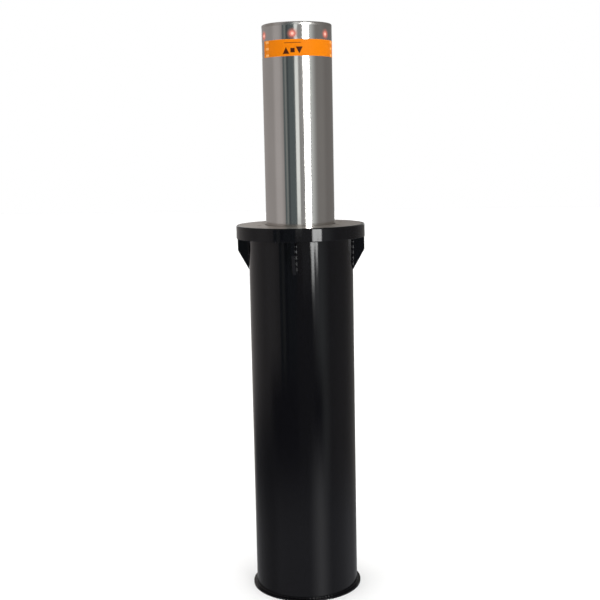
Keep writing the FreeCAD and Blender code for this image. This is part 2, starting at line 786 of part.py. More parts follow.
def make_rod_foot_buffer():
    """A rubber ring on the rod's foot that the barrel comes down on."""
    inner = "(rod_dia / 2 + 0.5)"
    outer = "(rod_foot / 2)"
    height = 12.5
    outline = [
        (inner, "0"),
        (outer, "0"),
        (f"{outer} + 2", "3"),
        (f"{outer} + 2", f"{height} - 3"),
        (outer, height),
        (inner, height),
    ]
    turned("rod_foot_buffer", f"{BEARER_TOP} + rod_foot_thk", outline)


def make_piston():
    """The piston, with two grooves for its seals."""
    outer = "(barrel_bore / 2 - running_gap)"
    outline = [("rod_thread / 2", "0"), (outer, "0")]
    for start in PISTON_GROOVES:
        outline += [
            (outer, start),
            (PISTON_GROOVE_FLOOR, start),
            (PISTON_GROOVE_FLOOR, f"{start} + seal_width"),
            (outer, f"{start} + seal_width"),
        ]
    outline += [(outer, "piston_thk"), ("rod_thread / 2", "piston_thk")]
    turned("piston", PISTON_Z, outline)


def make_piston_seals():
    body = new_body("piston_seals")
    outer = "(barrel_bore / 2 - running_gap)"
    for start in PISTON_GROOVES:
        turn(body, ring(PISTON_GROOVE_FLOOR, outer, "seal_width", start))
    place(body, PISTON_Z)


def make_cylinder_barrel():
    """A deep cup, mouth down. Its flange pushes on the thrust plate, and its boss carries the oil port."""
    chamber = f"({CHAMBER_TOP} - barrel_z)"
    closed = f"({chamber} + barrel_end)"
    boss_top = f"({closed} + thrust_thk)"
    flange, step = 16, 6
    outline = [
        ("barrel_bore / 2", "0"),
        ("barrel_od / 2", "0"),
        ("barrel_od / 2", f"{closed} - {flange}"),
        ("thrust_flange / 2", f"{closed} - {flange}"),
        ("thrust_flange / 2", closed),
        ("boss_dia / 2", closed),
        ("boss_dia / 2", boss_top),
        ("port_dia / 2", boss_top),
        ("port_dia / 2", chamber),
        (f"barrel_bore / 2 - {step}", chamber),
        ("barrel_bore / 2", f"{chamber} - {step}"),
    ]
    body = new_body("cylinder_barrel")
    turn(body, outline)
    bolt_hole = box_corners("0", "thrust_dia / 2", f"{closed} - {flange} - 1", f"{closed} + 1")
    drill_ring(body, "thrust_pcd / 2", "6", bolt_hole)
    place(body, "barrel_z")


def make_cylinder_gland():
    """The threaded bush in the barrel's mouth that the rod runs through."""
    bore = "(rod_dia / 2 + running_gap)"
    groove = "(rod_dia / 2 + seal_depth)"
    outline = [
        (bore, "0"),
        ("barrel_bore / 2", "0"),
        ("barrel_bore / 2", "gland_len"),
        (bore, "gland_len"),
    ]
    for start in reversed(GLAND_GROOVES):
        outline += [
            (bore, f"{start} + rod_seal_width"),
            (groove, f"{start} + rod_seal_width"),
            (groove, start),
            (bore, start),
        ]
    turned("cylinder_gland", "barrel_z", outline)


def make_rod_seals():
    body = new_body("rod_seals")
    bore = "(rod_dia / 2 + running_gap)"
    for start in GLAND_GROOVES:
        turn(body, ring(bore, "rod_dia / 2 + seal_depth", "rod_seal_width", start))
    place(body, "barrel_z")


def make_thrust_plate():
    """The bulkhead welded inside the post. The barrel pushes on it, and the power pack stands on it."""
    body = new_body("thrust_plate")
    turn(body, ring("boss_dia / 2", POST_BORE, "thrust_thk"))
    tapped = box_corners("0", "thrust_dia / 2", "-1", "thrust_thk - 3")
    drill_ring(body, "thrust_pcd / 2", "6", tapped)
    place(body, THRUST_Z)


def make_thrust_bolts():
    """Bolts through the barrel's top flange into the thrust plate."""
    flange = 16
    head = "thrust_head / 2"
    outline = [
        ("0", f"-{flange} - thrust_dia"),
        (head, f"-{flange} - thrust_dia"),
        (head, f"-{flange}"),
        ("thrust_dia / 2", f"-{flange}"),
        ("thrust_dia / 2", "thrust_thk - 4"),
        ("0", "thrust_thk - 4"),
    ]
    bolts("thrust_bolts", THRUST_Z, "thrust_pcd / 2", "6", outline)


# ---------------------------------------------------------------- power pack


def make_valve_block():
    """The manifold between pump and cylinder, drilled for the release stem and the solenoid valve."""
    body = new_body("valve_block")
    half_width, half_length = "block_width / 2", "block_length / 2"
    outline = box_corners(f"-{half_width}", half_width, f"-{half_length}", half_length)
    shape = pad(body, lambda s: draw_outline(s, outline), "block_height")
    upright = number("block_height")
    round_edges(body, shape, "6", lambda e: abs(e.Length - upright) < 1e-6)
    stem_hole = "stem_dia / 2 + running_gap"
    drilled = "20"
    pocket(body, lambda s: draw_circle(s, stem_hole, "0", "stem_y"), drilled, lift="block_height")
    pocket(body, lambda s: draw_circle(s, "port_dia / 2"), drilled, flip=True)
    place(body, BLOCK_Z)


def make_solenoid_valve():
    """The lowering valve: a coil and a nut on a cartridge in the side of the block."""
    body = new_body("solenoid_valve")
    start = "block_width / 2"
    cartridge, coil, nut = 13, 18, 8
    coil_start, coil_end, nut_end = (f"{start} + {reach}" for reach in (8, 40, 47))
    outline = [
        (start, "0"),
        (start, cartridge),
        (coil_start, cartridge),
        (coil_start, coil),
        (coil_end, coil),
        (coil_end, nut),
        (nut_end, nut),
        (nut_end, "0"),
    ]
    turn(body, outline, about="H_Axis")
    place(body, f"{BLOCK_Z} + block_height / 2")


def make_oil_tank():
    outer = "tank_dia / 2"
    outline = [
        ("0", "0"),
        (outer, "0"),
        (outer, "tank_height"),
        (f"{outer} - tank_wall", "tank_height"),
        (f"{outer} - tank_wall", "tank_wall"),
        ("0", "tank_wall"),
    ]
    turned("oil_tank", TANK_Z, outline)


def pump_outline():
    """The pump's plan. Its drive gear is on the axis, so the body is off to one side."""
    half = "pump_width / 2"
    middle = f"{GEAR_CENTRES} / 2"
    return box_corners(f"{middle} - {half}", f"{middle} + {half}", "-pump_depth / 2", "pump_depth / 2")


def make_pump_body():
    """The gear chamber: two round wells that run into each other, and a bearing hole under each."""
    body = new_body("pump_body")
    pad(body, lambda s: draw_outline(s, pump_outline()), "pump_height")
    well = "gear_teeth * gear_module / 2 + gear_module + 0.1"
    depth = "pump_height - pump_floor"
    for x in ("0", GEAR_CENTRES):
        pocket(body, lambda s, x=x: draw_circle(s, well, x), depth, lift="pump_height")
        pocket(body, lambda s, x=x: draw_circle(s, SHAFT_HOLE, x), "pin_depth", lift="pump_floor")
    place(body, PUMP_Z)


def make_pump_cover():
    """The pump's lid. The drive shaft comes up through it, and the driven shaft ends in it."""
    body = new_body("pump_cover")
    pad(body, lambda s: draw_outline(s, pump_outline()), "pump_floor")
    pocket(body, lambda s: draw_circle(s, SHAFT_HOLE), "pump_floor + 1", lift="pump_floor")
    pocket(body, lambda s: draw_circle(s, SHAFT_HOLE, GEAR_CENTRES), "pin_depth", flip=True)
    place(body, f"{PUMP_Z} + pump_height")


def involute_points(base_radius, start, end, count):
    """Points of an involute between two radii, as (radius, angle) pairs."""
    points = []
    for i in range(count):
        radius = start + (end - start) * i / (count - 1)
        roll = math.sqrt(max((radius / base_radius) ** 2 - 1, 0))
        points.append((radius, roll - math.atan(roll)))
    return points


def gear_face(phase):
    """A spur gear's face with involute flanks and a little backlash, turned by phase radians."""
    teeth, module = number("gear_teeth"), number("gear_module")
    pitch = teeth * module / 2
    pressure_angle = math.radians(20)
    base = pitch * math.cos(pressure_angle)
    tip, root = pitch + 0.9 * module, pitch - 1.25 * module
    backlash = BACKLASH * module
    flank = involute_points(base, base + 1e-6, tip, 6)
    at_pitch = involute_points(base, pitch, pitch + 1, 2)[0][1]
    half_tooth = math.pi / (2 * teeth) - backlash / (2 * pitch) + at_pitch
    edges = []
    step = 2 * math.pi / teeth

    def point(radius, angle):
        return FreeCAD.Vector(radius * math.cos(angle), radius * math.sin(angle), 0)

    for tooth in range(int(teeth)):
        middle = phase + tooth * step
        rising = [point(r, middle - half_tooth + a) for r, a in flank]
        falling = [point(r, middle + half_tooth - a) for r, a in reversed(flank)]
        foot_in = point(root, middle - half_tooth)
        foot_out = point(root, middle + half_tooth)
        next_foot = point(root, middle + step - half_tooth)
        up, down = Part.BSplineCurve(), Part.BSplineCurve()
        up.interpolate(rising)
        down.interpolate(falling)
        edges.append(Part.makeLine(foot_in, rising[0]))
        edges.append(up.toShape())
        edges.append(Part.Arc(rising[-1], point(tip, middle), falling[0]).toShape())
        edges.append(down.toShape())
        edges.append(Part.makeLine(falling[-1], foot_out))
        land = point(root, middle + step / 2)
        edges.append(Part.Arc(foot_out, land, next_foot).toShape())
    return Part.Face(Part.Wire(Part.__sortEdges__(edges)))


def gear_on_shaft(label, x, phase, shaft_end):
    """A pump gear with its journals, standing in the pump's chamber at x."""
    side_gap = 0.2
    width = number("pump_height - pump_floor") - 2 * side_gap
    gear = gear_face(phase).extrude(FreeCAD.Vector(0, 0, width))
    below = number("pin_depth") - 0.5 + side_gap
    shaft = Part.makeCylinder(
        number("shaft_dia / 2"), below + shaft_end, FreeCAD.Vector(0, 0, -below)
    )
    feature = DOC.addObject("Part::Feature", label)
    feature.Label = label
    feature.Shape = gear.fuse(shaft).removeSplitter()
    feature.Placement.Base = FreeCAD.Vector(
        number(x), 0, number(f"{PUMP_Z} + pump_floor") + side_gap
    )
    PARTS.append(feature)


def make_pump_gears():
    """Two equal gears in mesh: a tooth of one stands in a gap of the other on the line of centres."""
    half_step = math.pi / number("gear_teeth")
    depth = number("pump_height - pump_floor")
    drive_reach, driven_reach = 48, 5
    gear_on_shaft("pump_drive_gear", "0", 0.0, depth + drive_reach)
    gear_on_shaft("pump_driven_gear", GEAR_CENTRES, math.pi + half_step, depth + driven_reach)


def make_motor_adaptor():
    """The tank's lid, which carries the motor and its lower bearing."""
    turned("motor_adaptor", ADAPTOR_Z, ring("bearing_dia / 2", "tank_dia / 2", "adaptor_thk"))


def make_motor_housing():
    """A cup, mouth down, with a seat for the upper bearing."""
    outer = "motor_dia / 2"
    top = "motor_height"
    bevel, crown, lid = 4, 5, 8
    seat, seat_wall = "bearing_dia / 2", 6
    outline = [
        (f"{outer} - motor_wall", "0"),
        (outer, "0"),
        (outer, f"{top} - {bevel}"),
        (f"{outer} - {bevel}", top),
        ("0", top),
        ("0", f"{top} - {crown}"),
        (seat, f"{top} - {crown}"),
        (seat, f"{top} - {crown} - bearing_depth"),
        (f"{seat} + {seat_wall}", f"{top} - {crown} - bearing_depth"),
        (f"{seat} + {seat_wall}", f"{top} - {lid}"),
        (f"{outer} - motor_wall", f"{top} - {lid}"),
    ]
    turned("motor_housing", MOTOR_Z, outline)


def make_motor_bearings():
    """One in the adaptor and one in the seat under the housing's crown."""
    body = new_body("motor_bearings")
    crown = 5
    upper = f"adaptor_thk + motor_height - {crown} - bearing_depth"
    for start in ("0", upper):
        turn(body, ring(SHAFT_HOLE, "bearing_dia / 2", "bearing_depth", start))
    place(body, ADAPTOR_Z)


def make_motor_stator():
    """The magnet ring inside the housing."""
    start, length = 12, 74
    shell = ring("rotor_dia / 2 + 1", "motor_dia / 2 - motor_wall", length)
    turned("motor_stator", f"{MOTOR_Z} + {start}", shell)


def make_motor_rotor():
    """The rotor and its shaft. The shaft's lower end is a socket for the pump's drive shaft."""
    shaft = "shaft_dia / 2"
    low = f"({PUMP_Z} + pump_height + pump_floor + 10 - {MOTOR_Z})"
    collar = "(-adaptor_thk - 2)"
    socket_wall, socket_depth = 5, 32
    start, end, bevel = 14, 84, 2
    core = "rotor_dia / 2"
    outline = [
        (shaft, low),
        (f"{shaft} + {socket_wall}", low),
        (f"{shaft} + {socket_wall}", collar),
        (shaft, collar),
        (shaft, start),
        (f"{core} - {bevel}", start),
        (core, start + bevel),
        (core, end - bevel),
        (f"{core} - {bevel}", end),
        (shaft, end),
        (shaft, "motor_height - 6"),
        ("0", "motor_height - 6"),
        ("0", f"{low} + {socket_depth}"),
        (shaft, f"{low} + {socket_depth}"),
    ]
    turned("motor_rotor", MOTOR_Z, outline)


def make_release_stem():
    """The manual lowering screw: its foot turns in the valve block, and its square head takes a key."""
    body = new_body("release_stem")
    length = f"({CAP_RING_Z} - 26 - {TANK_Z})"
    radius = "stem_dia / 2"
    sunk, collar, collar_thk = 19.5, 3, 4
    outline = [
        ("0", f"-{sunk}"),
        (f"{radius} - 1", f"-{sunk}"),
        (radius, f"1 - {sunk}"),
        (radius, f"{length} - {collar_thk}"),
        (f"{radius} + {collar}", f"{length} - {collar_thk}"),
        (f"{radius} + {collar}", length),
        ("0", length),
    ]
    turn(body, outline)
    head = box_corners("-3.5", "3.5", "-3.5", "3.5")
    pad(body, lambda s: draw_outline(s, head), "12", lift=length)
    place(body, TANK_Z, y="stem_y")


# ---------------------------------------------------------------- post


def make_post_tube():
    """The stainless tube, with a shallow recess that keeps the tape flush, and six lamp holes."""
    body = new_body("post_tube")
    foot = "carriage_z"
    outer = "post_od / 2"
    recess = "(post_od / 2 - tape_thk)"
    tape_top = f"({POST_TOP} - tape_drop - {foot})"
    tape_foot = f"({tape_top} - tape_width)"
    length = f"({POST_TOP} - cap_thk - {foot})"
    outline = [
        (POST_BORE, "0"),
        (outer, "0"),
        (outer, tape_foot),
        (recess, tape_foot),
        (recess, tape_top),
        (outer, tape_top),
        (outer, length),
        (POST_BORE, length),
    ]
    turn(body, outline)
    lamp_hole = pocket(
        body,
        lambda s: draw_circle(s, "lamp_dia / 2", "0", f"{LAMP_Z} - {foot}"),
        "post_od",
        role="XZ_Plane",
        flip=True,
    )
    around(body, [lamp_hole], "lamp_count")
    place(body, foot)


def make_reflective_tape():
    """A strip laid round the post in the recess. Its two ends stop short of each other."""
    body = new_body("reflective_tape")
    outline = ring("post_od / 2 - tape_thk", "post_od / 2", "tape_width")
    turn(body, outline, sweep="360 - tape_open")
    place(body, f"{POST_TOP} - tape_drop - tape_width", number("tape_start"))


def make_top_cap():
    """The lid of the post: a thick disc with a rounded rim and a spigot that enters the tube."""
    body = new_body("top_cap")
    spigot = f"({POST_BORE} - 0.2)"
    outline = [
        ("0", "-spigot_depth"),
        (spigot, "-spigot_depth"),
        (spigot, "0"),
        ("post_od / 2", "0"),
        ("post_od / 2", "cap_thk"),
        ("0", "cap_thk"),
    ]
    shape = turn(body, outline)
    round_edges(body, shape, "cap_edge", lambda e: circle_at(e, "post_od / 2", "cap_thk"))
    clear = "cap_screw / 2 + 0.3"
    under = "-spigot_depth - 1"
    countersink = [
        ("0", under),
        (clear, under),
        (clear, CAP_SINK_Z),
        ("cap_sink / 2", "cap_thk"),
        ("0", "cap_thk"),
    ]
    drill_ring(body, "cap_pcd / 2", "4", countersink)
    pocket(
        body,
        lambda s: draw_circle(s, "plug_dia / 2", "stem_y", "0"),
        "cap_thk + spigot_depth + 1",
        lift="cap_thk",
    )
    place(body, f"{POST_TOP} - cap_thk", 90)


def make_cap_screws():
    """Countersunk M6 screws with a hexagon socket, through the cap into the cap ring."""
    body = new_body("cap_screws")
    top = "cap_thk - head_gap"
    outline = [
        ("0", "-screw_reach"),
        ("cap_screw / 2", "-screw_reach"),
        ("cap_screw / 2", CAP_SINK_Z),
        ("cap_sink / 2 - 1.5 * head_gap", top),
        ("0", top),
    ]
    screw = turn(body, outline, at="cap_pcd / 2")
    socket = hex_socket(body, "4", "cap_pcd / 2", top, 2.5)
    around(body, [screw, socket], "4")
    place(body, f"{POST_TOP} - cap_thk", 90)


def make_access_plug():
    """The screwed plug over the release stem, slotted for a coin or a key."""
    body = new_body("access_plug")
    radius = "plug_dia / 2"
    top = "cap_thk - 2 * head_gap"
    foot = 8
    outline = [
        ("0", f"-{foot}"),
        (f"{radius} - 1", f"-{foot}"),
        (radius, f"1 - {foot}"),
        (radius, top),
        ("0", top),
    ]
    turn(body, outline)
    slot = box_corners("-1.5", "1.5", f"-{radius} - 1", f"{radius} + 1")
    pocket(body, lambda s: draw_outline(s, slot), "2.5", lift=top)
    place(body, f"{POST_TOP} - cap_thk", y="stem_y")


def make_cap_ring():
    """The ring welded inside the tube that the cap screws enter."""
    body = new_body("cap_ring")
    turn(body, ring("90", POST_BORE, "cap_ring_thk"))
    tapped = box_corners("0", "cap_screw / 2", "1", "cap_ring_thk + 1")
    drill_ring(body, "cap_pcd / 2", "4", tapped)
    place(body, CAP_RING_Z, 90)


def make_lamp_board():
    """The ring-shaped circuit board under the lamp holders."""
    turned("lamp_board", f"{LAMP_Z} - board_drop", ring("82", f"{POST_BORE} - 0.5", "2"))


def make_lamp_lenses():
    """Domed lenses that fill the lamp holes and stay just inside the tube's surface."""
    front = "post_od / 2"
    outline = [
        (f"{front} - lens_depth", "0"),
        (f"{front} - lens_depth", LENS_RADIUS),
        (f"{front} - 2.2", LENS_RADIUS),
        (f"{front} - 1.4", f"{LENS_RADIUS} * 0.85"),
        (f"{front} - 0.7", f"{LENS_RADIUS} * 0.5"),
        (f"{front} - 0.4", "0"),
    ]
    body = new_body("lamp_lenses")
    one = turn(body, outline, about="H_Axis")
    around(body, [one], "lamp_count")
    place(body, LAMP_Z, -90)


def make_lamp_holders():
    """Moulded holders behind the lenses, each with a foot that stands on the board."""
    lens_back = "post_od / 2 - lens_depth"
    seat = f"({POST_BORE} - 0.7)"
    rim, depth = "(lamp_dia / 2 + 1.5)", 14
    foot_half, foot_depth = 6, 6
    outline = [
        (f"{seat} - {depth}", "0"),
        (f"{seat} - {depth}", rim),
        (seat, rim),
        (seat, LENS_RADIUS),
        (lens_back, LENS_RADIUS),
        (lens_back, "0"),
    ]
    foot = box_corners(f"{seat} - {depth} + 1", f"{seat} - 3", f"-{foot_half}", foot_half)
    body = new_body("lamp_holders")
    barrel = turn(body, outline, about="H_Axis")
    base = pad(body, lambda s: draw_outline(s, foot), foot_depth, lift="2 - board_drop")
    around(body, [barrel, base], "lamp_count")
    place(body, LAMP_Z, -90)


def make_carriage():
    """The plate welded round the foot of the post, with a pair of ears for each roller."""
    body = new_body("carriage")
    turn(body, ring("post_od / 2", "carriage_dia / 2", "carriage_thk"))
    inner = "(post_od / 2 + 3.5)"
    outer = "(rail_outer - rail_wall - rail_lip - 1.5)"

    def ears(sketch):
        for side in ("", "-"):
            near, far = f"{side}{EAR_GAP}", f"{side}({EAR_GAP} + ear_thk)"
            draw_outline(sketch, box_corners(inner, outer, near, far))

    both = pad(body, ears, "roller_drop + 14", down=True)
    axle_hole = pocket(
        body,
        lambda s: draw_circle(s, "axle_dia / 2", AXLE_RADIUS, "-roller_drop"),
        f"2 * ({EAR_GAP} + ear_thk + 1)",
        role="XZ_Plane",
        middle=True,
    )
    around(body, [both, axle_hole], "rail_count")
    place(body, "carriage_z", rail_angle(0))


def make_roller_axles():
    """A headed pin through each pair of ears."""
    body = new_body("roller_axles")
    half = f"({EAR_GAP} + ear_thk)"
    head_thk = 2

    def section(radius):
        return lambda s: draw_circle(s, radius, AXLE_RADIUS, "0")

    length = f"2 * {half} + {head_thk}"
    pin = pad(body, section("axle_dia / 2"), length, role="XZ_Plane", middle=True)
    heads = []
    for lift in (half, f"-{half} - {head_thk}"):
        heads.append(pad(body, section("axle_dia * 0.75"), head_thk, lift=lift, role="XZ_Plane"))
    around(body, [pin, *heads], "rail_count")
    place(body, "carriage_z - roller_drop", rail_angle(0))


def make_guide_rollers():
    """A plain roller in each channel, with its axis along the tangent."""
    bore = "(axle_dia / 2 + running_gap)"
    outer = "roller_dia / 2"
    half = "roller_width / 2"
    outline = [
        (bore, f"-{half}"),
        (f"{outer} - small_edge", f"-{half}"),
        (outer, f"-{half} + small_edge"),
        (outer, f"{half} - small_edge"),
        (f"{outer} - small_edge", half),
        (bore, half),
    ]
    lie_down = FreeCAD.Rotation(FreeCAD.Vector(1, 0, 0), -90)
    for index in range(int(number("rail_count"))):
        body = new_body(f"guide_roller_{index + 1}")
        turn(body, outline)
        angle = rail_angle(index)
        swing = FreeCAD.Rotation(FreeCAD.Vector(0, 0, 1), angle)
        body.Placement = FreeCAD.Placement(FreeCAD.Vector(), swing.multiply(lie_down))
        body.setExpression("Placement.Base.x", bound(f"{AXLE_RADIUS} * cos({angle})"))
        body.setExpression("Placement.Base.y", bound(f"{AXLE_RADIUS} * sin({angle})"))
        body.setExpression("Placement.Base.z", bound("carriage_z - roller_drop"))
        DOC.recompute()


def make_sensor_magnet():
    """The magnet under the carriage that the switches on the rail respond to."""
    body = new_body("sensor_magnet")
    radius, height = 4, 8
    out, along = 130, 21
    turn(body, box_corners("0", radius, f"-{height}", "0"))
    angle = rail_angle(0)
    x = f"{out} * cos({angle}) - {along} * sin({angle})"
    y = f"{out} * sin({angle}) + {along} * cos({angle})"
    place(body, "carriage_z", x=x, y=y)


def check_and_write():
    """Stops at any failed object, then writes each sub-part to its own STEP file."""
    DOC.recompute()
    for item in DOC.Objects:
        if "Invalid" in item.State or "Error" in item.State:
            raise RuntimeError(f"{item.Label} failed: {item.State}")
    os.makedirs("parts", exist_ok=True)
    for part in PARTS:
        shape = part.Shape
        if shape.isNull() or not shape.isValid() or not shape.Solids:
            raise RuntimeError(f"{part.Label} has no valid solid")
        shape.exportStep(f"parts/{part.Label}.step")
    print(f"{len(PARTS)} sub-parts written")


def main():
    fill_sheet()
    make_base_plate()
    make_drain_socket()
    make_casing_tube()
    make_conduit_socket()
    make_casing_flange()
    make_gussets()
    make_cover_plate()
    make_cover_screws()
    make_mounting_ring()
    make_mounting_bolts()
    make_guide_housing()
    make_guide_sleeve()
    make_wiper_seal()
    make_top_buffer()
    make_guide_rails()
    make_bearer_plate()
    make_bearer_feet()
    make_reed_sensors()
    make_piston_rod()
    make_rod_nuts()
    make_rod_foot_buffer()
    make_piston()
    make_piston_seals()
    make_cylinder_barrel()
    make_cylinder_gland()
    make_rod_seals()
    make_thrust_plate()
    make_thrust_bolts()
    make_valve_block()
    make_solenoid_valve()
    make_oil_tank()
    make_pump_body()
    make_pump_cover()
    make_pump_gears()
    make_motor_adaptor()
    make_motor_housing()
    make_motor_bearings()
    make_motor_stator()
    make_motor_rotor()
    make_release_stem()
    make_post_tube()
    make_reflective_tape()
    make_top_cap()
    make_cap_screws()
    make_access_plug()
    make_cap_ring()
    make_lamp_board()
    make_lamp_lenses()
    make_lamp_holders()
    make_carriage()
    make_roller_axles()
    make_guide_rollers()
    make_sensor_magnet()
    check_and_write()


main()
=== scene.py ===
import math
import random
from typing import NamedTuple

import bpy
from bpy.props import FloatProperty, FloatVectorProperty, IntProperty, PointerProperty
from mathutils import Matrix, Vector


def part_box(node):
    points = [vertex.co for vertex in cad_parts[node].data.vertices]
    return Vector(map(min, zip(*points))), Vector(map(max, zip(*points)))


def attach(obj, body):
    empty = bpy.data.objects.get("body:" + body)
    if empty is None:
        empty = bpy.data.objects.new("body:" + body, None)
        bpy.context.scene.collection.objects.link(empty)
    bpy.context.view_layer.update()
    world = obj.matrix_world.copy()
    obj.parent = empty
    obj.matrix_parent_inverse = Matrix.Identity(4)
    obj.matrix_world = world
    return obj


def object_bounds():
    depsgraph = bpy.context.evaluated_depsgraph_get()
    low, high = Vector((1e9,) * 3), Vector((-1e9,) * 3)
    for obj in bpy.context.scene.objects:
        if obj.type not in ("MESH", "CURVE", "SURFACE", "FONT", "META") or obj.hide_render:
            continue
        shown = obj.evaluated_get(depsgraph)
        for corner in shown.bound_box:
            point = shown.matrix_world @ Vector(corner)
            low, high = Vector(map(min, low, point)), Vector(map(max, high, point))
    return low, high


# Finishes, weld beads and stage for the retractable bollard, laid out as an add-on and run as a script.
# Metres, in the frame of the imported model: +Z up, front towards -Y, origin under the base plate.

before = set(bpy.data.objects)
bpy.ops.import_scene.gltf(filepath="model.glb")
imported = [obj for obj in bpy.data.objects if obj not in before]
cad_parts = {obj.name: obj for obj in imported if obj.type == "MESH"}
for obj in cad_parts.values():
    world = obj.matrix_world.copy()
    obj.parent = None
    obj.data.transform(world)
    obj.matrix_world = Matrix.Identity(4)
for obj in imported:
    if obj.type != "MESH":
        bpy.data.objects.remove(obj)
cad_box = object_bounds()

bl_info = {
    "name": "Retractable bollard",
    "version": (1, 0, 0),
    "blender": (4, 5, 0),
    "location": "3D View > Sidebar > Bollard",
    "description": "Gives the bollard its finishes, weld beads and studio",
    "category": "Object",
}

MM = 0.001
POST_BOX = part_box("post_tube")
POST_RADIUS = POST_BOX[1].x
TAPE_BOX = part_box("reflective_tape")
LENS_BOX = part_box("lamp_lenses")
LENS_RADIUS = (LENS_BOX[1].z - LENS_BOX[0].z) / 2
WELD_LEG = 4 * MM
CASING_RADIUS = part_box("casing_tube")[1].x - WELD_LEG
FLANGE_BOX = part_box("casing_flange")
BASE_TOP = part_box("base_plate")[1].z
GUSSET_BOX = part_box("gusset_front")
SOCKET_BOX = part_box("conduit_socket")
BEAD_INSET = 1.3 * MM
BEAD_SIDES = 10


# ---------------------------------------------------------------- what a user may change


class BollardFinish(bpy.types.PropertyGroup):
    """Colours and surface sizes."""

    steel: FloatVectorProperty(
        name="Stainless steel", description="Colour of the bare steel", subtype="COLOR",
        default=(0.6, 0.585, 0.57),
    )
    paint: FloatVectorProperty(
        name="Casing paint", description="Gloss paint on the casing", subtype="COLOR",
        default=(0.002, 0.002, 0.003),
    )
    tape: FloatVectorProperty(
        name="Tape", description="Colour of the reflective tape", subtype="COLOR", default=(0.65, 0.168, 0.0)
    )
    dash: FloatVectorProperty(
        name="Tape dashes", description="Pale dashes at the tape's ends", subtype="COLOR",
        default=(0.85, 0.4, 0.12),
    )
    print_ink: FloatVectorProperty(
        name="Tape print", description="Ink of the sign on the tape", subtype="COLOR",
        default=(0.05, 0.012, 0.004),
    )
    lamp: FloatVectorProperty(
        name="Lamp light", description="Colour of the lit lens", subtype="COLOR", default=(0.62, 0.22, 0.17)
    )
    lamp_core: FloatVectorProperty(
        name="Lamp core", description="Colour at the middle of the lens", subtype="COLOR",
        default=(1.0, 0.55, 0.43),
    )
    dash_length: FloatProperty(
        name="Dash length", description="Length of each pale dash", unit="LENGTH", default=16 * MM
    )
    dash_width: FloatProperty(
        name="Dash width", description="Height of each dash", unit="LENGTH", default=7 * MM
    )
    dash_spacing: FloatProperty(
        name="Dash spacing", description="Height between the dashes", unit="LENGTH", default=19.5 * MM
    )
    dashes_first: FloatProperty(
        name="First dashes", description="Angle of the first dashes from the front", subtype="ANGLE",
        default=math.radians(-49),
    )
    dashes_second: FloatProperty(
        name="Second dashes", description="Angle of the second dashes from the front", subtype="ANGLE",
        default=math.radians(80),
    )
    lamp_count: IntProperty(name="Lamps", description="Number of warning lamps", default=6)
    # Reach of the painted lamp glow, colour and emission, on the post's steel round each lamp.
    painted_glow_radius: FloatProperty(
        name="Lamp glow", description="Reach of the light on the steel round a lamp", unit="LENGTH",
        default=19 * MM,
    )
    bead_radius: FloatProperty(
        name="Weld bead", description="Radius of the weld beads", unit="LENGTH", default=3.3 * MM
    )
    bead_pitch: FloatProperty(
        name="Weld lumps", description="Length of one lump of a gusset's bead", unit="LENGTH",
        default=19.5 * MM,
    )
    ring_pitch: FloatProperty(
        name="Ring weld lumps", description="Length of one lump of a ring weld", unit="LENGTH",
        default=11 * MM,
    )


class BollardStage(bpy.types.PropertyGroup):
    """Camera, floor and light."""

    azimuth: FloatProperty(
        name="Azimuth", description="Camera's turn from the front", subtype="ANGLE", default=math.radians(7.0)
    )
    distance: FloatProperty(
        name="Distance", description="Camera's level distance from the axis", unit="LENGTH", default=3.4045
    )
    sideways: FloatProperty(
        name="Sideways", description="Camera's offset to the right", unit="LENGTH", default=-0.0059
    )
    height: FloatProperty(name="Height", description="Camera's height", unit="LENGTH", default=1.4376)
    tilt: FloatProperty(
        name="Tilt", description="Camera's tilt down", subtype="ANGLE", default=math.radians(8.214)
    )
    roll: FloatProperty(
        name="Roll", description="Camera's roll", subtype="ANGLE", default=math.radians(-1.151)
    )
    lens: FloatProperty(
        name="Lens", description="Focal length in millimetres", subtype="DISTANCE_CAMERA", default=64.01
    )
    sensor: FloatProperty(
        name="Sensor", description="Width of the sensor in millimetres", subtype="DISTANCE_CAMERA",
        default=36.0,
    )
    floor_size: FloatProperty(name="Floor", description="Side of the floor", unit="LENGTH", default=40.0)
    fill: FloatProperty(name="Fill", description="Even light on matt surfaces", default=0.25)
    overhead: FloatProperty(name="Overhead", description="Light from above on matt surfaces", default=2.1)
    wall: FloatVectorProperty(
        name="Wall", description="Right and back walls, as mirrors see them", subtype="COLOR",
        default=(0.22, 0.209, 0.201),
    )


# ---------------------------------------------------------------- shaders as expressions


class Term:
    """A socket of a shader's node, written as a term of an expression."""

    def __init__(self, shader, socket):
        self.shader = shader
        self.socket = socket

    def math(self, operation, *others):
        return self.shader.math(operation, self, *others)

    def __add__(self, other):
        return self.math("ADD", other)

    def __radd__(self, other):
        return self.shader.math("ADD", other, self)

    def __sub__(self, other):
        return self.math("SUBTRACT", other)

    def __rsub__(self, other):
        return self.shader.math("SUBTRACT", other, self)

    def __mul__(self, other):
        return self.math("MULTIPLY", other)

    def __rmul__(self, other):
        return self.shader.math("MULTIPLY", other, self)

    def __truediv__(self, other):
        return self.math("DIVIDE", other)

    def __abs__(self):
        return self.math("ABSOLUTE")

    def either(self, other):
        """The larger of two masks."""
        return self.math("MAXIMUM", other)

    def nearest(self, step):
        """This number rounded to a multiple of step."""
        return (self / step).math("ROUND") * step

    def rise(self, low, high):
        """0 below low and 1 above high, with a smooth step between."""
        node = self.shader.node(
            "ShaderNodeMapRange",
            {"interpolation_type": "SMOOTHSTEP"},
            {"Value": self, "From Min": low, "From Max": high},
        )
        return Term(self.shader, node.outputs["Result"])

    def within(self, low, high, soft):
        """1 between low and high, falling to 0 over soft outside each."""
        return self.rise(low - soft, low + soft) * (1 - self.rise(high - soft, high + soft))


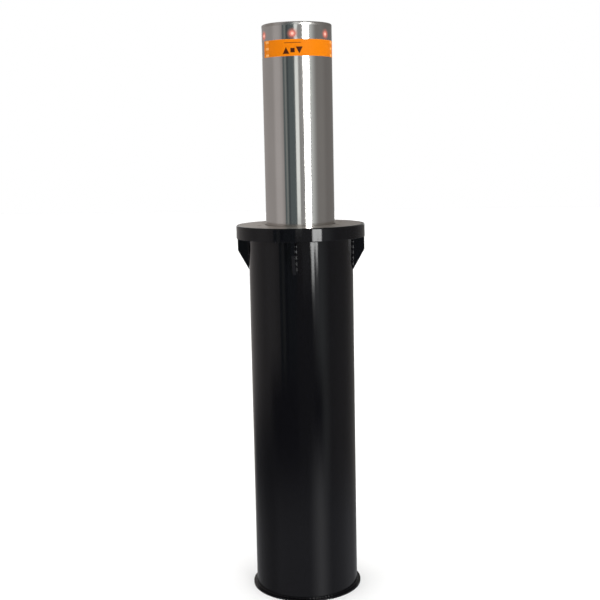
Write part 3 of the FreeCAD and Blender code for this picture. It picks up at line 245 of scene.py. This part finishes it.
class Shader:
    """A node tree being built, for a material or the world."""

    def __init__(self, owner):
        owner.use_nodes = True
        self.tree = owner.node_tree
        self.tree.nodes.clear()

    def node(self, kind, settings=None, sockets=None):
        """A node of that type, with its settings and then its sockets given as values or terms."""
        node = self.tree.nodes.new(kind)
        for name, value in (settings or {}).items():
            setattr(node, name, value)
        for name, value in (sockets or {}).items():
            socket = next(s for s in node.inputs if name in (s.identifier, s.name))
            if isinstance(value, Term):
                self.tree.links.new(value.socket, socket)
            else:
                socket.default_value = value
        return node

    def term(self, kind, settings=None, sockets=None, output=0):
        node = self.node(kind, settings, sockets)
        return Term(self, node.outputs[output])

    def math(self, operation, *values):
        node = self.tree.nodes.new("ShaderNodeMath")
        node.operation = operation
        for socket, value in zip(node.inputs, values):
            if isinstance(value, Term):
                self.tree.links.new(value.socket, socket)
            else:
                socket.default_value = value
        return Term(self, node.outputs[0])

    def mix(self, factor, first, second, blend="MIX"):
        """first where factor is 0 and second where it is 1."""
        settings = {"data_type": "RGBA", "clamp_factor": True, "blend_type": blend}
        sockets = {"Factor_Float": factor, "A_Color": opaque(first), "B_Color": opaque(second)}
        node = self.node("ShaderNodeMix", settings, sockets)
        return Term(self, next(s for s in node.outputs if s.identifier == "Result_Color"))

    def position(self):
        """Where the surface is, in the frame, whatever pose the part is in."""
        return self.term("ShaderNodeTexCoord", output="Object")

    def parts(self, vector):
        node = self.node("ShaderNodeSeparateXYZ", sockets={"Vector": vector})
        return [Term(self, socket) for socket in node.outputs]

    def vector(self, x, y, z):
        return self.term("ShaderNodeCombineXYZ", sockets={"X": x, "Y": y, "Z": z})

    def noise(self, vector, scale=1.0, detail=2.0, roughness=0.5):
        sockets = {"Vector": vector, "Scale": scale, "Detail": detail, "Roughness": roughness}
        return self.term("ShaderNodeTexNoise", sockets=sockets)

    def cells(self, vector, scale, feature="DISTANCE_TO_EDGE"):
        return self.term("ShaderNodeTexVoronoi", {"feature": feature}, {"Vector": vector, "Scale": scale})

    def stretched(self, along_x, along_y, along_z):
        """The position with each axis scaled, so that noise on it is drawn out."""
        node = self.node("ShaderNodeVectorMath", {"operation": "MULTIPLY"}, {"Vector": self.position()})
        node.inputs[1].default_value = (along_x, along_y, along_z)
        return Term(self, node.outputs["Vector"])

    def bump(self, height, distance, strength=1.0):
        sockets = {"Height": height, "Distance": distance, "Strength": strength}
        return self.term("ShaderNodeBump", sockets=sockets)


def opaque(colour):
    """A colour with its alpha, left alone if it is a term or already has one."""
    if isinstance(colour, (Term, float, int)):
        return colour
    return (*colour[:3], 1.0)


def shade(colour, factor):
    return tuple(min(channel * factor, 1.0) for channel in colour[:3])


def finish(name, build, **fixed):
    """A material: build(shader) gives the linked inputs, and fixed the constants, of its main shader."""
    material = bpy.data.materials.new(name)
    shader = Shader(material)
    sockets = dict(build(shader))
    for key, value in fixed.items():
        sockets[key.replace("_", " ").title().replace("Ior", "IOR")] = value
    surface = shader.term("ShaderNodeBsdfPrincipled", sockets=sockets)
    shader.node("ShaderNodeOutputMaterial", sockets={"Surface": surface})
    return material


def give(material, *nodes):
    """Assigns a material to CAD nodes."""
    for name in nodes:
        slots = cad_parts[name].material_slots
        if not slots:
            raise RuntimeError(f"{name} has no material slot")
        for slot in slots:
            slot.material = material


# ---------------------------------------------------------------- finishes


def round_the_axis(shader):
    """Angle from the front in radians, distance from the axis, and height."""
    x, y, z = shader.parts(shader.position())
    angle = shader.math("ARCTAN2", x, y * -1)
    radius = (x * x + y * y).math("SQRT")
    return angle, radius, z


def lamp_distance(shader, settings):
    """Distance over the post's surface from the middle of the nearest lamp."""
    angle, _, z = round_the_axis(shader)
    aside = (angle - angle.nearest(2 * math.pi / settings.lamp_count)) * POST_RADIUS
    above = z - (LENS_BOX[0].z + LENS_BOX[1].z) / 2
    return (aside * aside + above * above).math("SQRT")


def satin_tube_steel(settings):
    """Stainless tube, ground round its girth, with faint drawing lines, and a painted glow of the lamps on
    it: a reddish tint in its colour and an emission round each lamp.
    """

    def build(shader):
        grain = shader.noise(shader.stretched(14, 14, 2600), detail=3, roughness=0.65)
        lines = shader.noise(shader.stretched(420, 420, 0.7), detail=2)
        cloud = shader.noise(shader.stretched(5, 5, 3), detail=4, roughness=0.6)
        tone = shader.mix(grain, shade(settings.steel, 0.93), shade(settings.steel, 1.05))
        tone = shader.mix(cloud.rise(0.35, 0.75) * 0.5, tone, shade(settings.steel, 0.86))
        # Painted lamp light: the lamps' glow on the steel is a reddish tint in the base colour plus an
        # emission, fading out from each lamp, not light cast by the lenses.
        glow = 1 - lamp_distance(shader, settings).rise(8 * MM, settings.painted_glow_radius)
        colour = shader.mix(glow * 0.8, tone, (0.34, 0.15, 0.12))
        painted_lamp_glow = shader.mix(glow, (0, 0, 0), settings.lamp)
        rough = 0.06 + 0.05 * grain + 0.06 * cloud.rise(0.45, 0.85) + 0.02 * lines
        normal = shader.bump(grain * 0.5 + lines * 0.5, 0.02 * MM, 0.35)
        return {
            "Base Color": colour,
            "Roughness": rough,
            "Emission Color": painted_lamp_glow,
            "Normal": normal,
        }

    return finish("satin tube steel", build, metallic=1.0, emission_strength=0.55)


def faced_steel(name, colour, rough=0.24):
    """Steel faced on a lathe: fine rings round the axis, finger marks and dull patches."""

    def build(shader):
        angle, radius, z = round_the_axis(shader)
        rings = shader.noise(shader.vector(radius * 2400, z * 900, angle * 0.6), detail=3, roughness=0.6)
        cloud = shader.noise(shader.stretched(9, 9, 9), detail=5, roughness=0.62)
        marks = shader.noise(shader.stretched(46, 46, 46), detail=4, roughness=0.7)
        tone = shader.mix(rings, shade(colour, 0.88), shade(colour, 1.08))
        tone = shader.mix(cloud.rise(0.45, 0.75) * 0.6, tone, (0.3, 0.26, 0.22))
        roughness = rough + 0.1 * rings + 0.16 * cloud.rise(0.4, 0.75) + 0.08 * marks.rise(0.5, 0.8)
        normal = shader.bump(rings + marks * 0.4, 0.04 * MM, 0.5)
        return {"Base Color": tone, "Roughness": roughness, "Normal": normal}

    return finish(name, build, metallic=1.0)


def gloss_black_paint(settings):
    """Thick gloss paint over welded steel: slight orange peel, dust, rubbed spots and fine scratches."""

    def build(shader):
        peel = shader.noise(shader.stretched(190, 190, 190), detail=2)
        waves = shader.noise(shader.stretched(16, 16, 5), detail=2)
        dust = shader.noise(shader.stretched(900, 900, 900), detail=1)
        cloud = shader.noise(shader.stretched(6, 6, 4), detail=5, roughness=0.6)
        scratch = shader.cells(shader.stretched(26, 26, 3.5), 1.0)
        specks = dust.rise(0.76, 0.82) * cloud.rise(0.5, 0.75)
        rubbed = (1 - scratch.rise(0.0, 0.006)) * cloud.rise(0.6, 0.72)
        worn = specks.either(rubbed * 0.3)
        tone = shader.mix(cloud, shade(settings.paint, 0.8), shade(settings.paint, 1.3))
        colour = shader.mix(worn * 0.5, tone, (0.1, 0.1, 0.105))
        rough = 0.045 + 0.035 * cloud + 0.3 * worn
        normal = shader.bump(peel + waves * 4, 0.05 * MM, 0.4)
        return {"Base Color": colour, "Roughness": rough, "Normal": normal}

    return finish("gloss black paint", build, ior=1.36)


def reflective_tape(settings):
    """Orange prismatic film: pale dashes where its lengths end, a faint painted sheen down each column of
    dashes, and one printed up-and-down sign.
    """

    def build(shader):
        angle, _, z = round_the_axis(shader)
        up = z - (TAPE_BOX[0].z + TAPE_BOX[1].z) / 2
        half_tape = (TAPE_BOX[1].z - TAPE_BOX[0].z) / 2
        soft = 0.6 * MM
        row = abs(up - up.nearest(settings.dash_spacing))
        in_row = 1 - row.rise(settings.dash_width / 2 - soft, settings.dash_width / 2 + soft)
        dash_and_sheen_column = None
        for place in (settings.dashes_first, settings.dashes_second):
            aside = abs(angle - place) * POST_RADIUS
            near = 1 - aside.rise(settings.dash_length / 2 - 2 * soft, settings.dash_length / 2 + 2 * soft)
            dash_and_sheen_column = near if dash_and_sheen_column is None else dash_and_sheen_column.either(near)
        sign = lift_sign(angle * POST_RADIUS, up)
        mottle = shader.noise(shader.stretched(60, 60, 60), detail=4, roughness=0.6)
        prisms = shader.cells(shader.stretched(420, 420, 420), 1.0)
        edge = abs(up).rise(half_tape - 3 * soft, half_tape - soft)
        tone = shader.mix(mottle, shade(settings.tape, 0.9), shade(settings.tape, 1.08))
        tone = shader.mix((1 - prisms.rise(0.02, 0.1)) * 0.05, tone, settings.dash)
        tone = shader.mix(edge * 0.15, tone, settings.dash)
        # The dashes are print. The faint pale band (0.1) down each column between them is painted sheen of
        # the film seen at a grazing angle.
        tone = shader.mix(dash_and_sheen_column * (0.1 + in_row * 0.85), tone, settings.dash)
        tone = shader.mix(sign, tone, settings.print_ink)
        rough = 0.42 + 0.12 * mottle
        normal = shader.bump(prisms.rise(0.0, 0.12), 0.03 * MM, 0.3)
        return {"Base Color": tone, "Roughness": rough, "Normal": normal}

    return finish("orange reflective tape", build, specular_ior_level=0.05)


def lift_sign(along, up):
    """A mask of a plain sign: a rising and a sinking triangle either side of a block, under a thin line."""
    soft = 0.5 * MM
    half = 10.5 * MM
    half_block = 6.5 * MM
    spacing = 20.5 * MM
    sign_drop = 8 * MM
    line_lift = 14.5 * MM
    line_reach = 25 * MM
    low = up + sign_drop
    mask = 1 - abs(along).either(abs(low)).rise(half_block - soft, half_block + soft)
    upright = 1 - abs(low).rise(half - soft, half + soft)
    for side in (-1, 1):
        from_middle = abs(along - side * spacing)
        half_width = (half + side * low) * 0.5
        triangle = 1 - (from_middle - half_width).rise(-soft, soft)
        mask = mask.either(triangle * upright)
    thin = 1 - abs(up - line_lift).rise(soft, 3 * soft)
    line = thin * (1 - abs(along).rise(line_reach, line_reach + 2 * soft))
    return mask.either(line * 0.85)


def lit_lens(settings):
    """A red lens with a bright core, seen as lit through its frosted dome."""

    def build(shader):
        distance = lamp_distance(shader, settings)
        core = 1 - distance.rise(1.5 * MM, 6.5 * MM)
        rim = distance.rise(7.5 * MM, LENS_RADIUS)
        ripple = shader.noise(shader.stretched(300, 300, 300), detail=2)
        light = shader.mix(core, settings.lamp, settings.lamp_core)
        light = shader.mix(rim * 0.7, light, (0.3, 0.08, 0.06))
        light = shader.mix(ripple * 0.15, light, shade(settings.lamp, 0.6))
        return {
            "Base Color": shader.mix(core, (0.12, 0.02, 0.015), (0.3, 0.12, 0.1)),
            "Emission Color": light,
            "Roughness": 0.4 + 0.1 * ripple,
            "Normal": shader.bump(ripple, 0.05 * MM, 0.3),
        }

    return finish("lit red lens", build, emission_strength=1.0, specular_ior_level=0.2)


def plain_steel(name, colour, rough, mottled=0.25):
    """Plated or machined steel with uneven tone, tool marks and dull spots."""

    def build(shader):
        cloud = shader.noise(shader.stretched(30, 30, 30), detail=5, roughness=0.6)
        tool = shader.noise(shader.stretched(60, 60, 1500), detail=2)
        spots = shader.noise(shader.stretched(220, 220, 220), detail=3, roughness=0.7)
        tone = shader.mix(cloud, shade(colour, 1 - mottled), shade(colour, 1 + mottled * 0.4))
        tone = shader.mix(spots.rise(0.6, 0.72) * 0.4, tone, shade(colour, 0.5))
        roughness = rough + 0.12 * cloud + 0.1 * tool
        normal = shader.bump(tool + cloud * 0.5, 0.04 * MM, 0.4)
        return {"Base Color": tone, "Roughness": roughness, "Normal": normal}

    return finish(name, build, metallic=1.0)


def dull_solid(name, colour, rough):
    """Rubber, moulded plastic or matt paint: mottled, lightly textured, dusty in places."""

    def build(shader):
        cloud = shader.noise(shader.stretched(18, 18, 18), detail=4, roughness=0.6)
        grain = shader.noise(shader.stretched(600, 600, 600), detail=2)
        dust = cloud.rise(0.5, 0.8) * grain
        tone = shader.mix(cloud, shade(colour, 0.78), shade(colour, 1.15))
        tone = shader.mix(dust * 0.25, tone, (0.32, 0.31, 0.3))
        return {
            "Base Color": tone,
            "Roughness": rough + 0.15 * dust + 0.08 * grain,
            "Normal": shader.bump(grain, 0.06 * MM, 0.5),
        }

    return finish(name, build)


def circuit_board():
    """Green board with copper tracks showing through the mask."""

    def build(shader):
        tracks = shader.cells(shader.stretched(240, 240, 240), 1.0)
        cloud = shader.noise(shader.stretched(50, 50, 50), detail=3)
        mask = 1 - tracks.rise(0.03, 0.07)
        tone = shader.mix(cloud, (0.01, 0.12, 0.04), (0.02, 0.2, 0.07))
        return {
            "Base Color": shader.mix(mask * 0.6, tone, (0.09, 0.34, 0.12)),
            "Roughness": 0.3 + 0.15 * cloud,
            "Normal": shader.bump(mask, 0.04 * MM, 0.5),
        }

    return finish("circuit board", build)


# ---------------------------------------------------------------- weld beads


def bead_swells(lumps, seed, closed):
    """How far the bead swells at each lump. A closed bead ends as it begins."""
    draw = random.Random(seed)
    swells = [draw.uniform(0.75, 1.1) for _ in range(lumps + 1)]
    if closed:
        swells[-1] = swells[0]
    return swells


def square_to(along):
    """Two directions square to along and to each other."""
    side = along.orthogonal() if abs(along.z) > 0.9 else Vector((0, 0, 1))
    side = (side - along * side.dot(along)).normalized()
    return side, along.cross(side)


def bead_faces(rings, closed):
    """The faces between the rings of a bead, and its ends unless it is closed."""
    faces = []
    for index in range(rings if closed else rings - 1):
        base, after = index * BEAD_SIDES, (index + 1) % rings * BEAD_SIDES
        for step in range(BEAD_SIDES):
            beside = (step + 1) % BEAD_SIDES
            faces.append((base + step, base + beside, after + beside, after + step))
    if not closed:
        last = (rings - 1) * BEAD_SIDES
        faces.append(tuple(reversed(range(BEAD_SIDES))))
        faces.append(tuple(range(last, last + BEAD_SIDES)))
    return faces


def sweep_bead(name, path, radius, pitch, seed, closed=False):
    """A lumpy weld bead: a round section swept along path, swelling once in each pitch."""
    lengths = [0.0]
    for before, after in zip(path, path[1:]):
        lengths.append(lengths[-1] + (after - before).length)
    total = lengths[-1]
    lumps = max(2, round(total / pitch))
    swells = bead_swells(lumps, seed, closed)
    vertices = []
    for index, point in enumerate(path):
        ahead = path[(index + 1) % len(path)] if closed or index + 1 < len(path) else point
        behind = path[index - 1] if closed or index else point
        side, other = square_to((ahead - behind).normalized())
        place = lengths[index] / total * lumps
        lump = min(int(place), lumps - 1)
        wave = math.sin(math.pi * (place - lump))
        size = radius * (0.62 + 0.38 * wave * (swells[lump] + swells[lump + 1]) / 2)
        if not closed:
            from_end = min(lengths[index], total - lengths[index])
            size *= min(1.0, 0.35 + from_end / (2 * radius))
        for step in range(BEAD_SIDES):
            turn = 2 * math.pi * step / BEAD_SIDES
            vertices.append(point + (side * math.cos(turn) + other * math.sin(turn)) * size)
    mesh = bpy.data.meshes.new(name)
    mesh.from_pydata([tuple(v) for v in vertices], [], bead_faces(len(path), closed))
    mesh.validate()
    mesh.polygons.foreach_set("use_smooth", [True] * len(mesh.polygons))
    return mesh


def join_meshes(name, meshes):
    """One object from several meshes."""
    vertices, faces = [], []
    for mesh in meshes:
        start = len(vertices)
        vertices += [tuple(v.co) for v in mesh.vertices]
        faces += [tuple(start + i for i in p.vertices) for p in mesh.polygons]
        bpy.data.meshes.remove(mesh)
    joined = bpy.data.meshes.new(name)
    joined.from_pydata(vertices, [], faces)
    joined.polygons.foreach_set("use_smooth", [True] * len(joined.polygons))
    piece = bpy.data.objects.new(name, joined)
    bpy.context.scene.collection.objects.link(piece)
    return piece


def add_to_casing(piece, material):
    piece.data.materials.append(material)
    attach(piece, "casing")


def straight_path(start, end, step):
    count = max(2, round((end - start).length / step))
    return [start.lerp(end, i / count) for i in range(count + 1)]


def circle_path(centre, radius, step, flat=True):
    """A closed circle: level if flat, or upright and facing the back."""
    count = round(2 * math.pi * radius / step)
    points = []
    for i in range(count):
        turn = 2 * math.pi * i / count
        across, up = math.cos(turn) * radius, math.sin(turn) * radius
        points.append(centre + (Vector((across, up, 0)) if flat else Vector((across, 0, up))))
    return points


# ---------------------------------------------------------------- operators


def needed(name):
    material = bpy.data.materials.get(name)
    if material is None:
        raise RuntimeError(f"{name} is made by an earlier step")
    return material


class BOLLARD_OT_post(bpy.types.Operator):
    """Give the post tube and its cap their ground stainless finish"""

    bl_idname = "bollard.post"
    bl_label = "Post and cap"

    def execute(self, context):
        settings = context.scene.bollard_finish
        give(satin_tube_steel(settings), "post_tube")
        give(faced_steel("faced cap steel", settings.steel, rough=0.18), "top_cap")
        give(plain_steel("bright screw steel", (0.5, 0.49, 0.48), 0.24), "cap_screws", "access_plug")
        return {"FINISHED"}


class BOLLARD_OT_tape(bpy.types.Operator):
    """Print the orange reflective tape with its pale dashes and its sign"""

    bl_idname = "bollard.tape"
    bl_label = "Reflective tape"

    def execute(self, context):
        give(reflective_tape(context.scene.bollard_finish), "reflective_tape")
        return {"FINISHED"}


class BOLLARD_OT_lamps(bpy.types.Operator):
    """Light the lamps, and finish their holders and board"""

    bl_idname = "bollard.lamps"
    bl_label = "Warning lamps"

    def execute(self, context):
        give(lit_lens(context.scene.bollard_finish), "lamp_lenses")
        moulding = dull_solid("black moulding", (0.02, 0.02, 0.02), 0.45)
        give(moulding, "lamp_holders", "solenoid_valve", "reed_sensors")
        give(circuit_board(), "lamp_board")
        return {"FINISHED"}


class BOLLARD_OT_cover(bpy.types.Operator):
    """Finish the cover plate, its screws and the wiper round the post"""

    bl_idname = "bollard.cover"
    bl_label = "Cover plate"

    def execute(self, context):
        give(faced_steel("faced cover steel", (0.56, 0.515, 0.475), rough=0.3), "cover_plate")
        give(plain_steel("weathered screw steel", (0.36, 0.27, 0.2), 0.34), "cover_screws")
        give(dull_solid("black rubber", (0.018, 0.018, 0.018), 0.62), "wiper_seal")
        return {"FINISHED"}


class BOLLARD_OT_casing(bpy.types.Operator):
    """Paint the casing, its flange, gussets, base plate and sockets gloss black"""

    bl_idname = "bollard.casing"
    bl_label = "Casing"

    def execute(self, context):
        gussets = [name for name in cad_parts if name.startswith("gusset_")]
        painted = ["casing_tube", "casing_flange", "base_plate", "conduit_socket", "drain_socket"]
        give(gloss_black_paint(context.scene.bollard_finish), *painted, *gussets)
        return {"FINISHED"}


class BOLLARD_OT_gusset_welds(bpy.types.Operator):
    """Run a lumpy weld bead down both sides of each gusset"""

    bl_idname = "bollard.gusset_welds"
    bl_label = "Gusset welds"

    def execute(self, context):
        settings = context.scene.bollard_finish
        paint = needed("gloss black paint")
        out = CASING_RADIUS + BEAD_INSET
        half_plate = 5 * MM
        low, high = GUSSET_BOX[0].z + 3 * MM, GUSSET_BOX[1].z - 9 * MM
        for quarter, name in enumerate(("front", "right", "back", "left")):
            turn = Matrix.Rotation(quarter * math.pi / 2, 3, "Z")
            beads = []
            for side in (-1, 1):
                aside = side * (half_plate + BEAD_INSET)
                foot = turn @ Vector((aside, -out, low))
                head = turn @ Vector((aside, -out, high))
                path = straight_path(foot, head, 1.5 * MM)
                seed = 10 * quarter + side
                beads.append(sweep_bead("bead", path, settings.bead_radius, settings.bead_pitch, seed))
            add_to_casing(join_meshes(f"gusset_weld_{name}", beads), paint)
        return {"FINISHED"}


class BOLLARD_OT_ring_welds(bpy.types.Operator):
    """Run the ring welds under the flange, at the foot of the casing and round the conduit socket"""

    bl_idname = "bollard.ring_welds"
    bl_label = "Ring welds"

    def execute(self, context):
        settings = context.scene.bollard_finish
        paint = needed("gloss black paint")
        reach = CASING_RADIUS + BEAD_INSET
        under_flange = Vector((0, 0, FLANGE_BOX[0].z - BEAD_INSET))
        on_base = Vector((0, 0, BASE_TOP + BEAD_INSET))
        socket = Vector((0, CASING_RADIUS, (SOCKET_BOX[0].z + SOCKET_BOX[1].z) / 2))
        socket_radius = (SOCKET_BOX[1].z - SOCKET_BOX[0].z) / 2
        rings = {
            "flange_weld": circle_path(under_flange, reach, 2.2 * MM),
            "foot_weld": circle_path(on_base, reach, 2.2 * MM),
            "conduit_weld": circle_path(socket, socket_radius + BEAD_INSET, 2.2 * MM, flat=False),
        }
        for seed, (name, path) in enumerate(rings.items(), start=100):
            bead = sweep_bead("bead", path, settings.bead_radius, settings.ring_pitch, seed, closed=True)
            add_to_casing(join_meshes(name, [bead]), paint)
        return {"FINISHED"}


class BOLLARD_OT_drive_frame(bpy.types.Operator):
    """Finish the frame, guides and buffers inside the casing"""

    bl_idname = "bollard.drive_frame"
    bl_label = "Drive frame and guides"

    def execute(self, context):
        zinc = plain_steel("zinc plate", (0.55, 0.56, 0.58), 0.33)
        give(zinc, "mounting_ring", "guide_housing", "guide_rails", "bearer_plate")
        give(zinc, "carriage", "cap_ring", "thrust_plate")
        bolt_steel = plain_steel("plain bolt steel", (0.42, 0.41, 0.4), 0.3)
        give(bolt_steel, "mounting_bolts", "bearer_feet", "roller_axles")
        give(dull_solid("white acetal", (0.7, 0.68, 0.62), 0.4), "guide_sleeve")
        rollers = [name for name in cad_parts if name.startswith("guide_roller_")]
        give(dull_solid("grey polyamide", (0.07, 0.07, 0.075), 0.42), *rollers)
        give(needed("black rubber"), "top_buffer", "rod_foot_buffer")
        give(plain_steel("sintered magnet", (0.14, 0.14, 0.15), 0.42), "sensor_magnet", "motor_stator")
        return {"FINISHED"}


class BOLLARD_OT_cylinder(bpy.types.Operator):
    """Finish the hydraulic cylinder"""

    bl_idname = "bollard.cylinder"
    bl_label = "Cylinder"

    def execute(self, context):
        give(plain_steel("hard chrome", (0.78, 0.79, 0.81), 0.06, mottled=0.05), "piston_rod")
        give(dull_solid("grey cylinder paint", (0.06, 0.07, 0.08), 0.32), "cylinder_barrel")
        bolt_steel = needed("plain bolt steel")
        give(bolt_steel, "rod_nuts", "piston", "cylinder_gland", "thrust_bolts", "release_stem")
        give(needed("black rubber"), "piston_seals", "rod_seals")
        return {"FINISHED"}


class BOLLARD_OT_power_pack(bpy.types.Operator):
    """Finish the pump, valve block, tank and motor"""

    bl_idname = "bollard.power_pack"
    bl_label = "Power pack"

    def execute(self, context):
        aluminium = plain_steel("milled aluminium", (0.72, 0.73, 0.75), 0.28, mottled=0.12)
        give(aluminium, "valve_block", "pump_body", "pump_cover", "motor_adaptor")
        give(dull_solid("satin black paint", (0.015, 0.015, 0.017), 0.36), "oil_tank", "motor_housing")
        ground = plain_steel("ground gear steel", (0.5, 0.49, 0.48), 0.2)
        give(ground, "pump_drive_gear", "pump_driven_gear", "motor_rotor", "motor_bearings")
        return {"FINISHED"}


class Card(NamedTuple):
    """A panel of the studio, as seen from the post: its edges are degrees to the right of the camera."""

    left: float
    right: float
    soft: float
    colour: tuple
    low: float = -95.0
    high: float = 95.0
    edge: float = 1.0


STUDIO = {
    "left wall": Card(-200, -49, 2, (0.41, 0.385, 0.375)),
    "left wall, lit part": Card(-84, -57, 8, (0.54, 0.51, 0.5)),
    "dark opening": Card(-49, -9, 1, (0.13, 0.155, 0.16)),
    "pale post in the opening": Card(-43, -37, 1, (0.27, 0.29, 0.28)),
    "dark edge": Card(-36, -30, 1, (0.08, 0.095, 0.1)),
    "strip light": Card(-8.8, 3, 0.8, (1.15, 1.2, 1.17), low=-4.5, high=60, edge=0.2),
    "grey gap": Card(3, 18, 1, (0.36, 0.36, 0.355)),
    "right wall, near part": Card(50, 96, 12, (0.27, 0.26, 0.25)),
    "light behind": Card(162, 173, 3, (0.7, 0.72, 0.72), low=-4, high=60, edge=3),
    "window behind": Card(-175, -164, 2, (1.1, 1.13, 1.13), low=-8, high=40, edge=2),
    "glow beside the window": Card(34, 52, 15, (0.8, 0.84, 0.83)),
    "shaded floor": Card(-78, 46, 12, (0.09, 0.09, 0.095), high=-12, edge=2),
    "shaded floor by the strip light": Card(-12, 24, 4, (0.15, 0.15, 0.15), high=-7.5, edge=1.5),
    "shaded floor to the left": Card(-150, -66, 12, (0.13, 0.13, 0.135), low=-21, high=-14, edge=3),
    "near floor": Card(-200, 200, 5, (0.26, 0.26, 0.27), high=-19, edge=3),
    "near floor, middle and right": Card(-72, 120, 15, (0.42, 0.42, 0.44), high=-18.5, edge=3),
    "lit patch of floor": Card(20, 46, 16, (1.25, 1.25, 1.28), low=-26, high=-17, edge=3),
    "reflection under the window": Card(24, 38, 2, (0.85, 0.86, 0.88), low=-9.3, high=-5, edge=0.8),
    "left pane's foot": Card(22.5, 28.5, 1.2, (13, 13.2, 13), low=-7.1, high=0, edge=1.2),
    "right pane's foot": Card(32.5, 36.5, 1.2, (11, 11.1, 11), low=-6.3, high=0, edge=0.6),
    "window": Card(20.5, 37, 1.2, (17, 17.2, 17), low=-5.4, high=15, edge=0.5),
}


def studio_light(shader, settings):
    """The studio as reflections see it: the plain wall, and each card laid over what came before."""
    x, y, z = shader.parts(shader.term("ShaderNodeTexCoord", output="Generated"))
    turn = settings.azimuth
    right = x * math.cos(turn) + y * math.sin(turn)
    near = x * math.sin(turn) - y * math.cos(turn)
    azimuth = shader.math("ARCTAN2", right, near) * math.degrees(1)
    elevation = z.math("ARCSINE") * math.degrees(1)
    colour = settings.wall
    for card in STUDIO.values():
        mask = azimuth.within(card.left, card.right, card.soft)
        mask = mask * elevation.within(card.low, card.high, card.edge)
        colour = shader.mix(mask, colour, card.colour)
    return colour


def light_studio(settings):
    """White to the camera, the studio to reflections, and the studio with a fill to matt surfaces."""
    world = bpy.data.worlds.new("studio")
    bpy.context.scene.world = world
    shader = Shader(world)
    room = studio_light(shader, settings)
    ray = shader.node("ShaderNodeLightPath")
    _, _, up = shader.parts(shader.term("ShaderNodeTexCoord", output="Generated"))
    above = (settings.fill + settings.overhead,) * 3
    fill = shader.mix(up.rise(0.67, 0.87), (settings.fill,) * 3, above)
    filled = shader.mix(1.0, room, fill, blend="ADD")
    seen = shader.mix(Term(shader, ray.outputs["Is Diffuse Ray"]), room, filled)
    seen = shader.mix(Term(shader, ray.outputs["Is Camera Ray"]), seen, (1.0, 1.0, 1.0))
    background = shader.term("ShaderNodeBackground", sockets={"Color": seen, "Strength": 1.0})
    shader.node("ShaderNodeOutputWorld", sockets={"Surface": background})


def lay_floor(settings):
    """A plain pale floor that mirrors don't see."""
    half = settings.floor_size / 2
    mesh = bpy.data.meshes.new("floor")
    corners = [(-half, -half, 0), (half, -half, 0), (half, half, 0), (-half, half, 0)]
    mesh.from_pydata(corners, [], [(0, 1, 2, 3)])
    floor = bpy.data.objects.new("floor", mesh)
    floor.location.z = cad_box[0][2]
    bpy.context.scene.collection.objects.link(floor)

    def build(shader):
        cloud = shader.noise(shader.stretched(3, 3, 3), detail=3)
        return {"Base Color": shader.mix(cloud, (0.86, 0.86, 0.86), (0.9, 0.9, 0.9))}

    mesh.materials.append(finish("pale floor", build, roughness=0.9))
    floor.visible_glossy = False


def set_camera(settings):
    """The camera, aimed level along its azimuth and then tilted and rolled."""
    turn = Matrix.Rotation(settings.azimuth, 3, "Z")
    place = turn @ Vector((settings.sideways, -settings.distance, settings.height))
    right = turn @ Vector((1, 0, 0))
    ahead = turn @ Vector((0, math.cos(settings.tilt), -math.sin(settings.tilt)))
    up = right.cross(ahead)
    cosine, sine = math.cos(settings.roll), math.sin(settings.roll)
    across = right * cosine + up * sine
    upward = up * cosine - right * sine
    matrix = Matrix((across, upward, -ahead)).transposed().to_4x4()
    matrix.translation = place
    data = bpy.data.cameras.new("camera")
    data.lens = settings.lens
    data.sensor_width = settings.sensor
    data.clip_end = 100
    camera = bpy.data.objects.new("camera", data)
    camera.matrix_world = matrix
    bpy.context.scene.collection.objects.link(camera)
    bpy.context.scene.camera = camera


class BOLLARD_OT_stage(bpy.types.Operator):
    """Set up the floor, the light and the camera"""

    bl_idname = "bollard.stage"
    bl_label = "Stage"

    def execute(self, context):
        settings = context.scene.bollard_stage
        light_studio(settings)
        lay_floor(settings)
        set_camera(settings)
        context.scene.view_settings.view_transform = "Standard"
        return {"FINISHED"}


STEPS = (
    BOLLARD_OT_post,
    BOLLARD_OT_tape,
    BOLLARD_OT_lamps,
    BOLLARD_OT_cover,
    BOLLARD_OT_casing,
    BOLLARD_OT_gusset_welds,
    BOLLARD_OT_ring_welds,
    BOLLARD_OT_drive_frame,
    BOLLARD_OT_cylinder,
    BOLLARD_OT_power_pack,
    BOLLARD_OT_stage,
)


class BOLLARD_PT_sidebar(bpy.types.Panel):
    """The steps, in order, and what they read"""

    bl_idname = "BOLLARD_PT_sidebar"
    bl_label = "Retractable bollard"
    bl_space_type = "VIEW_3D"
    bl_region_type = "UI"
    bl_category = "Bollard"

    def draw(self, context):
        for step in STEPS:
            self.layout.operator(step.bl_idname)
        for group in (context.scene.bollard_finish, context.scene.bollard_stage):
            box = self.layout.box()
            for name in group.__annotations__:
                box.prop(group, name)


CLASSES = (BollardFinish, BollardStage, *STEPS, BOLLARD_PT_sidebar)


def register():
    for one in CLASSES:
        bpy.utils.register_class(one)
    bpy.types.Scene.bollard_finish = PointerProperty(type=BollardFinish)
    bpy.types.Scene.bollard_stage = PointerProperty(type=BollardStage)


def unregister():
    del bpy.types.Scene.bollard_stage
    del bpy.types.Scene.bollard_finish
    for one in reversed(CLASSES):
        bpy.utils.unregister_class(one)


def main():
    register()
    for step in STEPS:
        group, name = step.bl_idname.split(".")
        getattr(getattr(bpy.ops, group), name)()


if __name__ == "__main__":
    main()
